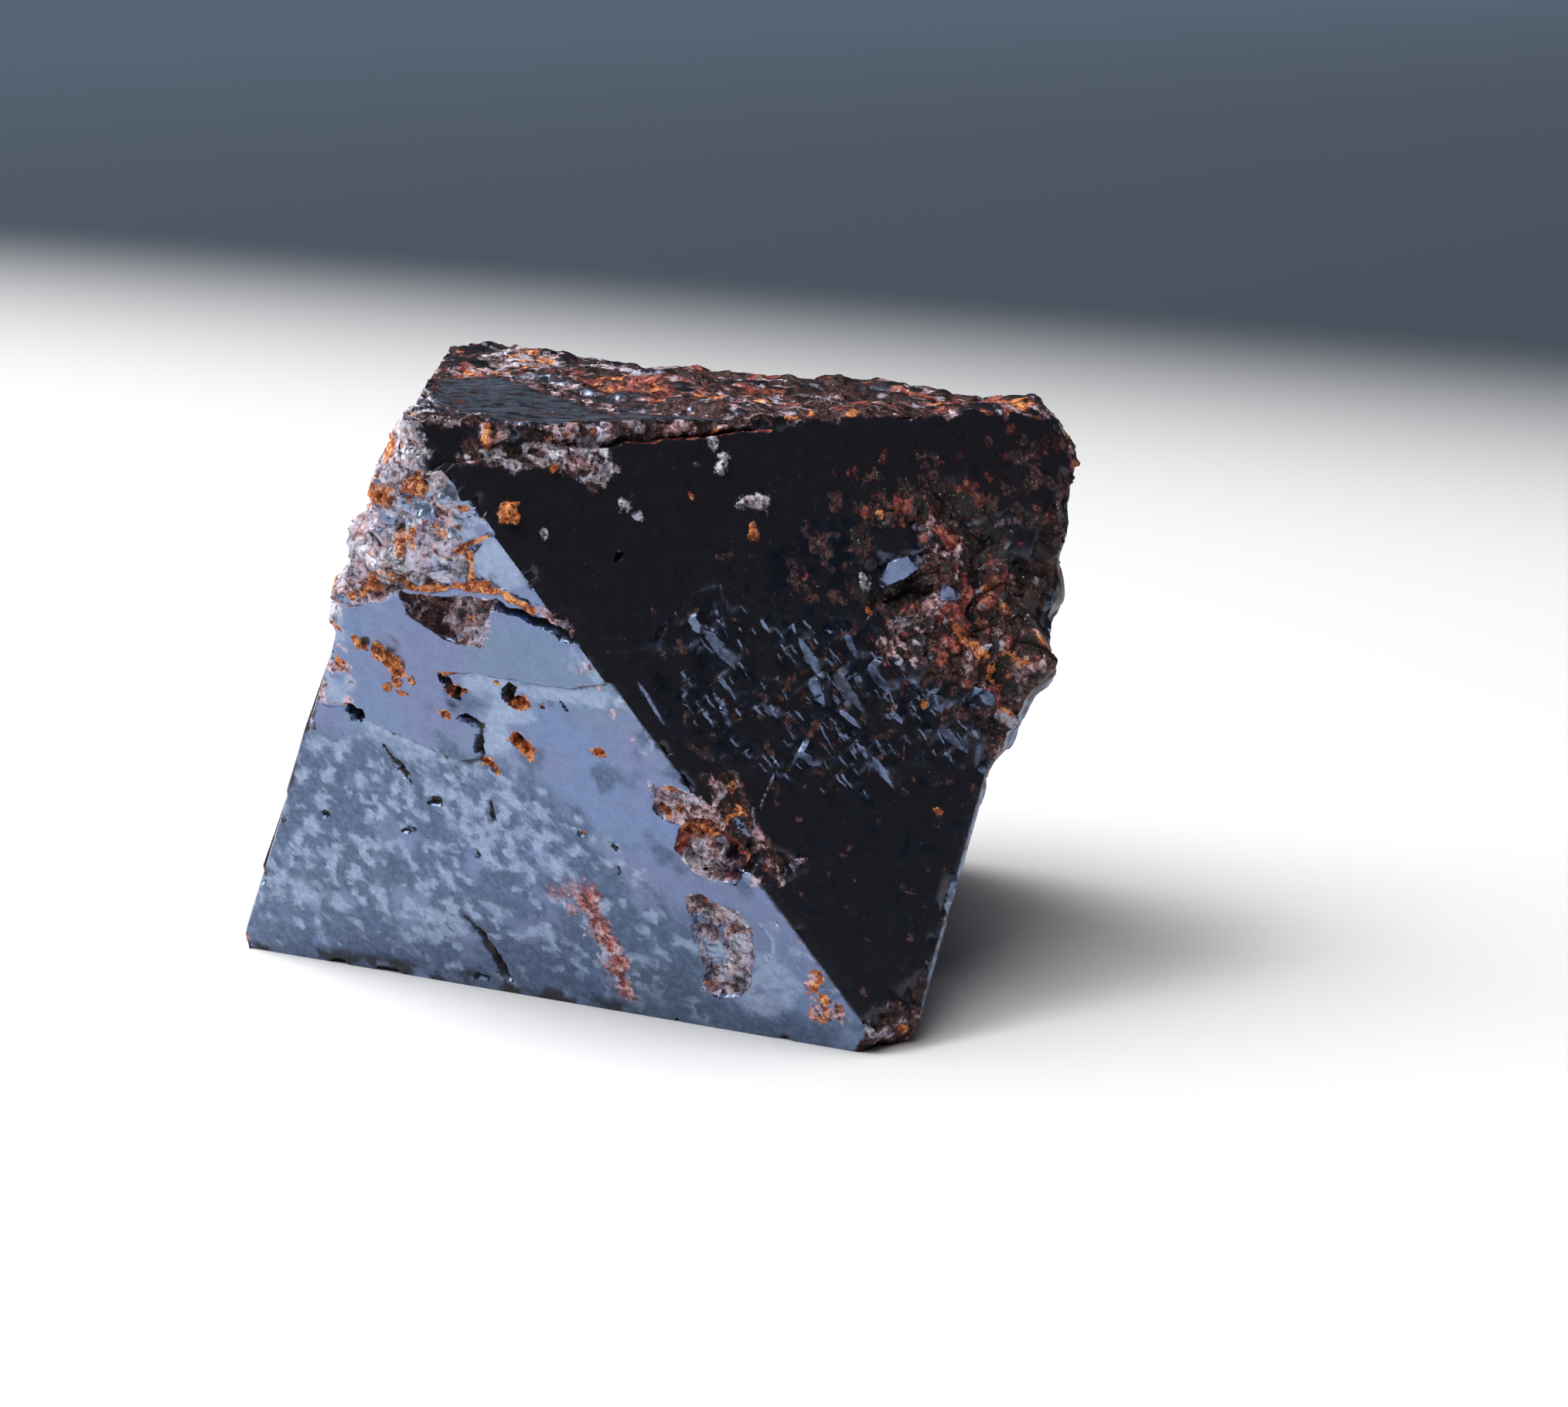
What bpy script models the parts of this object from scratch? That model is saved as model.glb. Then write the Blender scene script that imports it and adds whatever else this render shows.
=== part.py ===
"""Cuprite crystal: a loose octahedron lying on one face, with a broken top and crusted edges.

Metres, +Z up. The origin is on the crystal's three-fold axis, in the face that it rests on.
+X runs along the lower edge of the big undercut face, which looks towards -Y.
"""

import math

import bmesh
import bpy
from mathutils import Matrix, Vector, noise

EDGE = 0.022  # edge length of the whole octahedron
INRADIUS = EDGE / math.sqrt(6)  # centre to any face; the crystal would be twice this tall
FACE_RISE = 1 / 3  # upward part of a side face's unit normal

# Side faces: the direction they look in, whether they overhang (-1) or slope in (+1), and how
# much thinner the crystal grew there.
SIDE_FACES = (
    (270, -1, 0.00005),
    (30, -1, 0.0),
    (150, -1, 0.0003),
    (330, 1, 0.00064),
    (210, 1, 0.00002),
    (90, 1, 0.00045),
)

TOP_HEIGHT = 0.01628  # broken top, measured on the axis
TOP_SLOPE = (-0.0295, -0.0463)  # how it falls off towards +X and +Y
RIGHT_EDGE_FLAT = 0.01049  # narrow flat on the +X edge, out from the axis

# Broken corners: a point of each break and the way it faces.
BREAKS = (
    ((0.01075, 0.00440, 0.01430), (0.74, 0.40, 0.54)),  # upper +X corner
    ((0.00974, -0.00662, 0.00092), (0.80, -0.34, -0.50)),  # lower +X corner
    ((-0.01060, -0.00640, 0.0), (-0.80, -0.50, -0.32)),  # lower -X corner
    ((0.00000, -0.01240, 0.01680), (-0.35, -0.88, 0.32)),  # upper -Y corner
    ((-0.01090, 0.00640, 0.01600), (-0.85, 0.45, 0.25)),  # upper -X corner, behind
    ((0.0, 0.01215, 0.00030), (0.05, 0.97, -0.25)),  # lower +Y corner, behind
)

# Crusted and rough places: centre, reach, swelling and roughness.
CRUSTS = (
    ((-0.0030, -0.0109, 0.0131), 0.0042, 0.00042, 0.00028),
    ((0.0104, 0.0018, 0.0099), 0.0050, 0.00060, 0.00035),
    ((0.0098, -0.0055, 0.0010), 0.0022, 0.00000, 0.00025),
    ((-0.0085, 0.0040, 0.0120), 0.0050, 0.00020, 0.00025),
    ((0.0030, 0.0100, 0.0060), 0.0050, 0.00015, 0.00025),
)

GRID = 0.00115  # spacing of the cuts that give the rough places their points
GRID_SHIFT = 0.37  # of a spacing, keeps those cuts off the crystal's own corners
GRID_SNAP = 0.12  # of a spacing, a cut takes points this near instead of making new ones
PLANE_SNAP = 1e-7
TOP_ROUGHNESS = 0.00030
LUMPS = ((0.0042, 0.65), (0.0018, 0.35))  # wavelength and share of each size of lump
REST_BAND = 0.0006  # the rest face and this much above it stay true
FLAT_ANGLE = math.radians(0.4)  # faces this close to one plane are merged again

# Recess above the last growth layer of the +X, -Y face: its lower end points and its depth.
LEDGE_START = (0.00076, -0.01165, 0.01568)
LEDGE_END = (0.00538, -0.00353, 0.01600)
LEDGE_DEPTH = 0.0003
LEDGE_BAR = 0.004  # width of the bar that cuts it, enough to pass the top edge and the corner

COLOUR = (0.030, 0.032, 0.045, 1.0)
ROUGHNESS = 0.28
METALLIC = 0.35


def clear_scene():
    for obj in list(bpy.data.objects):
        bpy.data.objects.remove(obj, do_unlink=True)


def face_normal(azimuth, side):
    """Unit normal of a side face of an octahedron that lies on another of its faces."""
    flat = math.sqrt(1 - FACE_RISE**2)
    angle = math.radians(azimuth)
    return Vector((flat * math.cos(angle), flat * math.sin(angle), side * FACE_RISE))


def top_plane():
    """The broken top before it is roughened, as a point on it and its normal."""
    return Vector((0, 0, TOP_HEIGHT)), Vector((-TOP_SLOPE[0], -TOP_SLOPE[1], 1)).normalized()


def cut_planes():
    """Every plane that bounds the crystal, as a point on it and its outward normal."""
    centre = Vector((0, 0, INRADIUS))
    for azimuth, side, worn in SIDE_FACES:
        normal = face_normal(azimuth, side)
        yield centre + normal * (INRADIUS - worn), normal
    yield top_plane()
    yield Vector((RIGHT_EDGE_FLAT, 0, 0)), Vector((1, 0, 0))
    for point, normal in BREAKS:
        yield Vector(point), Vector(normal).normalized()


def slice_off(bm, point, normal):
    """Remove what lies outside a plane and close the solid with one flat face."""
    everything = bm.verts[:] + bm.edges[:] + bm.faces[:]
    cut = bmesh.ops.bisect_plane(
        bm, geom=everything, dist=PLANE_SNAP, plane_co=point, plane_no=normal, clear_outer=True
    )
    rim = [item for item in cut["geom_cut"] if isinstance(item, bmesh.types.BMEdge)]
    if rim:
        bmesh.ops.contextual_create(bm, geom=rim)


def score(bm, spacing):
    """Cut every face along a regular grid of planes, removing nothing."""
    reach = math.ceil(EDGE / spacing)
    for axis in (Vector((1, 0, 0)), Vector((0, 1, 0)), Vector((0, 0, 1))):
        for step in range(-reach, reach + 1):
            everything = bm.verts[:] + bm.edges[:] + bm.faces[:]
            place = axis * (step + GRID_SHIFT) * spacing
            bmesh.ops.bisect_plane(
                bm, geom=everything, dist=spacing * GRID_SNAP, plane_co=place, plane_no=axis
            )


def lumps(point):
    """Roughness from -1 to 1, the same for the same point."""
    return sum(share * noise.noise(point / size) for size, share in LUMPS)


def fade(distance, reach):
    """1 at the middle of a crusted place, falling smoothly to 0 at its reach."""
    inside = max(0.0, 1 - distance / reach)
    return inside * inside * (3 - 2 * inside)


def roughen(bm):
    """Move points out of the flat faces in the broken and crusted places only."""
    top_point, top = top_plane()
    top_level = top.dot(top_point)
    bm.normal_update()
    moves = []
    for vert in bm.verts:
        if vert.co.z < REST_BAND:
            continue
        rise = lumps(vert.co)
        move = Vector()
        if top.dot(vert.co) > top_level - GRID * GRID_SNAP:
            move += top * rise * TOP_ROUGHNESS
        for centre, reach, swelling, roughness in CRUSTS:
            weight = fade((vert.co - Vector(centre)).length, reach)
            move += vert.normal * weight * (swelling + roughness * rise)
        if move.length > 0:
            moves.append((vert, move))
    for vert, move in moves:
        vert.co += move


def make_material():
    material = bpy.data.materials.new("cuprite")
    material.use_nodes = True
    shader = material.node_tree.nodes["Principled BSDF"]
    shader.inputs["Base Color"].default_value = COLOUR
    shader.inputs["Roughness"].default_value = ROUGHNESS
    shader.inputs["Metallic"].default_value = METALLIC
    return material


def add_object(name, bm):
    mesh = bpy.data.meshes.new(name)
    bm.to_mesh(mesh)
    bm.free()
    obj = bpy.data.objects.new(name, mesh)
    bpy.context.scene.collection.objects.link(obj)
    return obj


def make_crystal():
    bm = bmesh.new()
    bmesh.ops.create_cube(bm, size=2 * EDGE, matrix=Matrix.Translation((0, 0, EDGE)))
    for point, normal in cut_planes():
        slice_off(bm, point, normal)
    score(bm, GRID)
    bmesh.ops.triangulate(bm, faces=bm.faces[:])
    roughen(bm)
    bmesh.ops.dissolve_limit(bm, angle_limit=FLAT_ANGLE, verts=bm.verts[:], edges=bm.edges[:])
    bmesh.ops.triangulate(bm, faces=bm.faces[:])
    bmesh.ops.recalc_face_normals(bm, faces=bm.faces[:])
    crystal = add_object("crystal", bm)
    crystal.data.materials.append(make_material())
    return crystal


def make_ledge_cutter():
    """A bar along the recess: its lower side cuts the ledge, its inner side the recess's floor."""
    outward = face_normal(330, 1)
    start, end = Vector(LEDGE_START), Vector(LEDGE_END)
    along = (end - start).normalized()
    up = outward.cross(along)
    length = (end - start).length
    size = Vector((length + LEDGE_BAR, LEDGE_BAR, LEDGE_BAR))
    middle = Vector(((length - LEDGE_BAR) / 2, LEDGE_BAR / 2, LEDGE_BAR / 2 - LEDGE_DEPTH))
    frame = Matrix((along, up, outward)).transposed().to_4x4()
    bm = bmesh.new()
    bmesh.ops.create_cube(bm, size=1)
    bmesh.ops.scale(bm, vec=size, verts=bm.verts[:])
    bmesh.ops.translate(bm, vec=middle, verts=bm.verts[:])
    bmesh.ops.transform(bm, matrix=Matrix.Translation(start) @ frame, verts=bm.verts[:])
    bmesh.ops.recalc_face_normals(bm, faces=bm.faces[:])
    cutter = add_object("ledge_cutter", bm)
    cutter.hide_render = True
    cutter.display_type = "WIRE"
    return cutter


def main():
    clear_scene()
    crystal = make_crystal()
    ledge = crystal.modifiers.new("ledge", "BOOLEAN")
    ledge.operation = "DIFFERENCE"
    ledge.object = make_ledge_cutter()


main()
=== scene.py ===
import math

import bpy
import numpy as np
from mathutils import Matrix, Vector, noise


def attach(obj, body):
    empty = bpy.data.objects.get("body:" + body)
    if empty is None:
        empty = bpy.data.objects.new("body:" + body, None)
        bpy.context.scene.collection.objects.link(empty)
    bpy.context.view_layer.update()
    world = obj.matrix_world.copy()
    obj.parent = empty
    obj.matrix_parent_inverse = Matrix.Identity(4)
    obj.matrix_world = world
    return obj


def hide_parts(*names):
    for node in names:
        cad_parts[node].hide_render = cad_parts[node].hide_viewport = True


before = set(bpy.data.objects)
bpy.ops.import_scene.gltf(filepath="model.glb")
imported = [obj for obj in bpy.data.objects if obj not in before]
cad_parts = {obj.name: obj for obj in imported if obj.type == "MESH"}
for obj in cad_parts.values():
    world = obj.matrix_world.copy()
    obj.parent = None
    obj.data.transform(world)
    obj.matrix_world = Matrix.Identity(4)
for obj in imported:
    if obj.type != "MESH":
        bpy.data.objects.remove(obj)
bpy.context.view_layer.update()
bpy.ops.object.select_all(action="DESELECT")

mm = 0.001  # lengths below are in millimetres, unless they say otherwise

# The camera, the floor and the light

camera = {
    "place": (49.32, -83.87, 29.27),
    "azimuth": 28.58,
    "elevation": 12.78,
    "lens": 79.5,
    "clip": (5, 5000),
}

stage = {
    "floorSize": 8000,
    "edgeTurn": -9.0,  # the pale floor fades along a line turned this much from X
    "fade": (36, 154),  # where the fade starts and ends beyond that line
    "fadePower": 2.2,
    "pale": (0.80, 0.80, 0.81),
    "slateLeft": (0.094, 0.124, 0.170),
    "slateRight": (0.055, 0.069, 0.088),
    "sides": (-600, 150),  # where the backdrop's painted glow starts to change from its left colour, and where it reaches its right colour
    "roughness": 0.7,
    "specular": 0.1,
    "worldColor": (1.0, 0.84, 0.80),
    "worldStrength": 0.041,
}

lightAim = (0, 0, 8)

lights = {
    # azimuth and elevation that the light comes from, distance, width and watts
    "window": {"azimuth": 206, "elevation": 50, "distance": 330, "width": 280, "power": 1.35},
    "overhead": {"azimuth": 262, "elevation": 70, "distance": 480, "width": 420, "power": 2.0},
}


def direction(azimuth, elevation):
    a, e = math.radians(azimuth), math.radians(elevation)
    return Vector((math.cos(a) * math.cos(e), math.sin(a) * math.cos(e), math.sin(e)))


def makeCamera():
    back = direction(camera["azimuth"] - 90, camera["elevation"])
    data = bpy.data.cameras.new("camera")
    data.lens = camera["lens"]
    data.clip_start, data.clip_end = (distance * mm for distance in camera["clip"])
    obj = bpy.data.objects.new("camera", data)
    obj.location = Vector(camera["place"]) * mm
    obj.rotation_euler = back.to_track_quat("Z", "Y").to_euler()
    bpy.context.scene.collection.objects.link(obj)
    bpy.context.scene.camera = obj


def makeLights():
    aim = Vector(lightAim) * mm
    for name, light in lights.items():
        away = direction(light["azimuth"], light["elevation"])
        data = bpy.data.lights.new(name, "AREA")
        data.size = light["width"] * mm
        data.energy = light["power"]
        obj = bpy.data.objects.new(name, data)
        obj.location = aim + away * light["distance"] * mm
        obj.rotation_euler = away.to_track_quat("Z", "Y").to_euler()
        bpy.context.scene.collection.objects.link(obj)
    world = bpy.data.worlds.new("studio")
    world.use_nodes = True
    background = world.node_tree.nodes["Background"]
    background.inputs["Color"].default_value = (*stage["worldColor"], 1)
    background.inputs["Strength"].default_value = stage["worldStrength"]
    bpy.context.scene.world = world
    bpy.context.scene.view_settings.view_transform = "Standard"


# Small tools for materials


def newMaterial(name):
    material = bpy.data.materials.new(name)
    material.use_nodes = True
    return material, material.node_tree, material.node_tree.nodes["Principled BSDF"]


def feed(tree, socket, value):
    # Give a socket a number, a colour or another node's output.
    if isinstance(value, bpy.types.NodeSocket):
        tree.links.new(value, socket)
    elif isinstance(value, tuple) and socket.type == "RGBA":
        socket.default_value = (*value, 1)
    else:
        socket.default_value = value


def calc(tree, operation, *values, clamp=False):
    node = tree.nodes.new("ShaderNodeMath")
    node.operation = operation
    node.use_clamp = clamp
    for socket, value in zip(node.inputs, values):
        feed(tree, socket, value)
    return node.outputs[0]


def blend(tree, factor, first, second):
    # Colour mix, from first at 0 to second at 1.
    node = tree.nodes.new("ShaderNodeMix")
    node.data_type = "RGBA"
    feed(tree, node.inputs[0], factor)
    feed(tree, node.inputs[6], first)
    feed(tree, node.inputs[7], second)
    return node.outputs[2]


def between(tree, value, low, high, start=0.0, end=1.0):
    # Smooth step from start to end as the value goes from low to high.
    node = tree.nodes.new("ShaderNodeMapRange")
    node.interpolation_type = "SMOOTHSTEP"
    for socket, number in zip(node.inputs, (value, low, high, start, end)):
        feed(tree, socket, number)
    return node.outputs[0]


def noiseNode(tree, place, size, detail, rough):
    # Noise from 0 to 1 with lumps about size across.
    node = tree.nodes.new("ShaderNodeTexNoise")
    feed(tree, node.inputs["Vector"], place)
    node.inputs["Scale"].default_value = 1 / (size * mm)
    node.inputs["Detail"].default_value = detail
    node.inputs["Roughness"].default_value = rough
    return node


def threeTints(tree, value, steps, dark, mid, light):
    # Dark turns into mid between the first two steps, and mid into light between the last two.
    tint = blend(tree, between(tree, value, steps[0], steps[1]), dark, mid)
    return blend(tree, between(tree, value, steps[2], steps[3]), tint, light)


def objectPlace(tree):
    return tree.nodes.new("ShaderNodeTexCoord").outputs["Object"]


def attribute(tree, name):
    node = tree.nodes.new("ShaderNodeAttribute")
    node.attribute_name = name
    return node.outputs["Fac"]


def makeFloor():
    bpy.ops.mesh.primitive_plane_add(size=stage["floorSize"] * mm)
    floor = bpy.context.object
    floor.name = "floor"
    material, tree, shader = newMaterial("paleFloor")
    turn = tree.nodes.new("ShaderNodeMapping")
    turn.inputs["Rotation"].default_value[2] = -math.radians(stage["edgeTurn"])
    feed(tree, turn.inputs["Vector"], objectPlace(tree))
    split = tree.nodes.new("ShaderNodeSeparateXYZ")
    feed(tree, split.inputs[0], turn.outputs[0])
    start, end = stage["fade"]
    fade = between(tree, split.outputs["Y"], start * mm, end * mm)
    fade = calc(tree, "POWER", fade, stage["fadePower"])
    left, right = stage["sides"]
    side = between(tree, split.outputs["X"], left * mm, right * mm)
    feed(tree, shader.inputs["Base Color"], blend(tree, fade, stage["pale"], (0.0, 0.0, 0.0)))
    # Far off, the floor becomes a slate backdrop that glows, painted lighter at the left than at the right.
    feed(tree, shader.inputs["Emission Color"], blend(tree, side, stage["slateLeft"], stage["slateRight"]))
    feed(tree, shader.inputs["Emission Strength"], fade)
    shader.inputs["Roughness"].default_value = stage["roughness"]
    shader.inputs["Specular IOR Level"].default_value = stage["specular"]
    floor.data.materials.append(material)


makeCamera()
makeLights()
makeFloor()
print("camera, lights and floor are in place")

# Random numbers that stay the same each run


def cellNumber(cell, seed):
    # A fixed number from 0 to 1 for each cell of a grid.
    n = cell[:, 0] * 73856093 ^ cell[:, 1] * 19349663 ^ cell[:, 2] * 83492791 ^ (seed + 11) * 50331653
    n = n & 0xFFFFFFFF
    n = (n ^ n >> 15) * 2246822519 & 0xFFFFFFFF
    n = (n ^ n >> 13) * 3266489917 & 0xFFFFFFFF
    return (n ^ n >> 16) / 0xFFFFFFFF


turned = np.array([[0.80, 0.36, -0.48], [-0.60, 0.48, -0.64], [0.0, 0.80, 0.60]])


def lumps(points, size, seed=0):
    # Smooth random heights from -1 to 1, with lumps about size across.
    place = points @ turned.T / size + seed * 0.37
    cell = np.floor(place).astype(np.int64)
    part = place - cell
    part = part * part * (3 - 2 * part)
    total = np.zeros(len(points))
    for corner in np.ndindex(2, 2, 2):
        share = np.where(np.array(corner) == 1, part, 1 - part).prod(axis=1)
        total += share * cellNumber(cell + np.array(corner), seed)
    return 2.4 * total - 1.2


def grainCells(points, size, seed=0):
    # Packed grains about size across: each point's grain number, and how near it is to the gap.
    place = points @ turned.T / size
    cell = np.floor(place).astype(np.int64)
    nearest = np.full(len(points), 9.0)
    second = nearest.copy()
    number = np.zeros(len(points))
    for step in np.ndindex(3, 3, 3):
        other = cell + np.array(step) - 1
        seedPoint = other + np.stack([cellNumber(other, seed + k) for k in range(3)], axis=1)
        gap = np.linalg.norm(place - seedPoint, axis=1)
        closer = gap < nearest
        second = np.where(closer, nearest, np.minimum(second, gap))
        number = np.where(closer, cellNumber(other, seed + 3), number)
        nearest = np.where(closer, gap, nearest)
    return number, np.clip((second - nearest) * 3, 0, 1)


def smooth(x):
    x = np.clip(x, 0, 1)
    return x * x * (3 - 2 * x)


def outlineDepth(u, v, outline):
    # How deep each point lies inside a closed outline, negative outside.
    corners = np.array(outline, float)
    inside = np.zeros(len(u), bool)
    nearest = np.full(len(u), 1e9)
    for (ax, ay), (bx, by) in zip(corners, np.roll(corners, -1, axis=0)):
        nearest = np.minimum(nearest, segmentGap(u, v, ax, ay, bx, by))
        if ay != by:
            crosses = ((ay > v) != (by > v)) & (u < (bx - ax) * (v - ay) / (by - ay) + ax)
            inside ^= crosses
    return np.where(inside, nearest, -nearest)


def segmentGap(u, v, ax, ay, bx, by):
    length = max((bx - ax) ** 2 + (by - ay) ** 2, 1e-9)
    t = np.clip(((u - ax) * (bx - ax) + (v - ay) * (by - ay)) / length, 0, 1)
    return np.hypot(u - ax - t * (bx - ax), v - ay - t * (by - ay))


def lineGap(u, v, line):
    # Distance from an open line of corners.
    gaps = [segmentGap(u, v, *a, *b) for a, b in zip(line, line[1:])]
    return np.min(gaps, axis=0)


# The crystal: an octahedron lying on one face, with a broken top

octahedron = {
    "edge": 22.0,
    # which way each side face looks, whether it overhangs (-1) or slopes in (1), and its lack of growth
    "sides": {
        "left": (270, -1, 0.05),
        "right": (330, 1, 0.64),
        "east": (30, -1, 0.0),
        "west": (210, 1, 0.02),
        "north": (90, 1, 0.45),
        "northWest": (150, -1, 0.30),
    },
    "topHeight": 16.28,  # at the middle
    "topSlope": (-0.0295, -0.0463),  # climb along X and along Y
    "eastFlat": 10.49,  # how far out the narrow flat on the east side lies
    # a point on each broken corner, and which way the break looks
    "breaks": {
        "upperEast": ((10.75, 4.40, 14.30), (0.74, 0.40, 0.54)),
        "lowerEast": ((9.74, -6.62, 0.92), (0.80, -0.34, -0.50)),
        "lowerWest": ((-10.60, -6.40, 0.0), (-0.80, -0.50, -0.32)),
        "upperFront": ((0.00, -12.40, 16.80), (-0.35, -0.88, 0.32)),
        "upperWest": ((-10.90, 6.40, 16.00), (-0.85, 0.45, 0.25)),
        "lowerNorth": ((0.0, 12.15, 0.30), (0.05, 0.97, -0.25)),
    },
    "voxel": 0.105,
    "coreDepth": 1.0,  # deeper than this below a face, its growth isn't worked out
    "footFade": 0.5,  # growth fades out over this height above the ground
}


def sideFrame(azimuth, side, lack):
    # Foot, along, up and out of a side face: along is level, and up climbs the face.
    inradius = octahedron["edge"] / math.sqrt(6)
    flat = math.sqrt(8) / 3
    a = math.radians(azimuth)
    level = np.array([math.cos(a), math.sin(a), 0.0])
    out = flat * level + np.array([0, 0, side / 3])
    offset = out[2] * inradius + inradius - lack
    along = np.array([-level[1], level[0], 0.0])
    return {"foot": level * offset / flat, "along": along, "up": np.cross(out, along), "out": out}


def planeFrame(point, out):
    out = np.array(out, float) / np.linalg.norm(out)
    along = np.cross((0, 0, 1), out)
    along = along / np.linalg.norm(along) if np.linalg.norm(along) > 0.1 else np.array([1.0, 0, 0])
    return {"foot": np.array(point, float), "along": along, "up": np.cross(out, along), "out": out}


def allFaces():
    made = {name: sideFrame(*values) for name, values in octahedron["sides"].items()}
    slopeX, slopeY = octahedron["topSlope"]
    top = planeFrame((0, 0, octahedron["topHeight"]), (-slopeX, -slopeY, 1))
    made["top"] = {**top, "along": np.array([1.0, 0, 0]), "up": np.array([0, 1.0, 0])}
    made["eastFlat"] = planeFrame((octahedron["eastFlat"], 0, 0), (1, 0, 0))
    for name, (point, out) in octahedron["breaks"].items():
        made[name] = planeFrame(point, out)
    made["rest"] = planeFrame((0, 0, 0), (0, 0, -1))
    return made


faces = allFaces()


def heightAbove(face, points):
    return (points - face["foot"]) @ face["out"]


def makeBlank():
    # A cube cut down face by face, then meshed evenly with its corners kept sharp.
    edge = octahedron["edge"] * mm
    bpy.ops.mesh.primitive_cube_add(size=2 * edge, location=(0, 0, edge))
    blank = bpy.context.object
    blank.name = "crystalBody"
    bpy.ops.object.transform_apply(location=True, rotation=True, scale=True)
    bpy.ops.object.mode_set(mode="EDIT")
    for name, face in faces.items():
        if name != "rest":
            bpy.ops.mesh.select_all(action="SELECT")
            bpy.ops.mesh.bisect(
                plane_co=Vector(face["foot"]) * mm,
                plane_no=Vector(face["out"]),
                use_fill=True,
                clear_outer=True,
                threshold=1e-7,
            )
    bpy.ops.mesh.select_all(action="SELECT")
    bpy.ops.mesh.normals_make_consistent(inside=False)
    bpy.ops.object.mode_set(mode="OBJECT")
    blank.data.remesh_voxel_size = octahedron["voxel"] * mm
    bpy.ops.object.voxel_remesh()
    return blank


def readPoints(mesh):
    points = np.empty(len(mesh.vertices) * 3)
    mesh.vertices.foreach_get("co", points)
    return points.reshape(-1, 3) / mm


def writePoints(mesh, points):
    mesh.vertices.foreach_set("co", (points * mm).ravel())
    mesh.update()


# What grew on each face. Places are (along, up) on the face, and (x, y) on the top.

# Marks that colour the faces. The last two paint shade into deep and low places, and the first and third,
# two dark films, also paint shade in some places.
marks = ("dusk", "haze", "umber", "brown", "red", "blush", "clay", "rust", "deep", "hollow")

wholeFace = ((-30, -30), (30, -30), (30, 30), (-30, 30))


def zone(outline, edge, lift=0, calm=0, bumps=(), grains=(), **shares):
    # Part of a face: its outline, the width of its edge, its lift, how far calm places are left out of
    # it, bumps and grains as (size, rise), and its marks as (size of a patch, share of the zone).
    return {
        "outline": outline, "edge": edge, "lift": lift, "calm": calm,
        "bumps": bumps, "grains": grains, "marks": shares,
    }


lilacPlates = ((0.0, 15.9), (0.9, 15.7), (1.4, 14.9), (0.6, 14.75), (0.1, 15.2))

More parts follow.
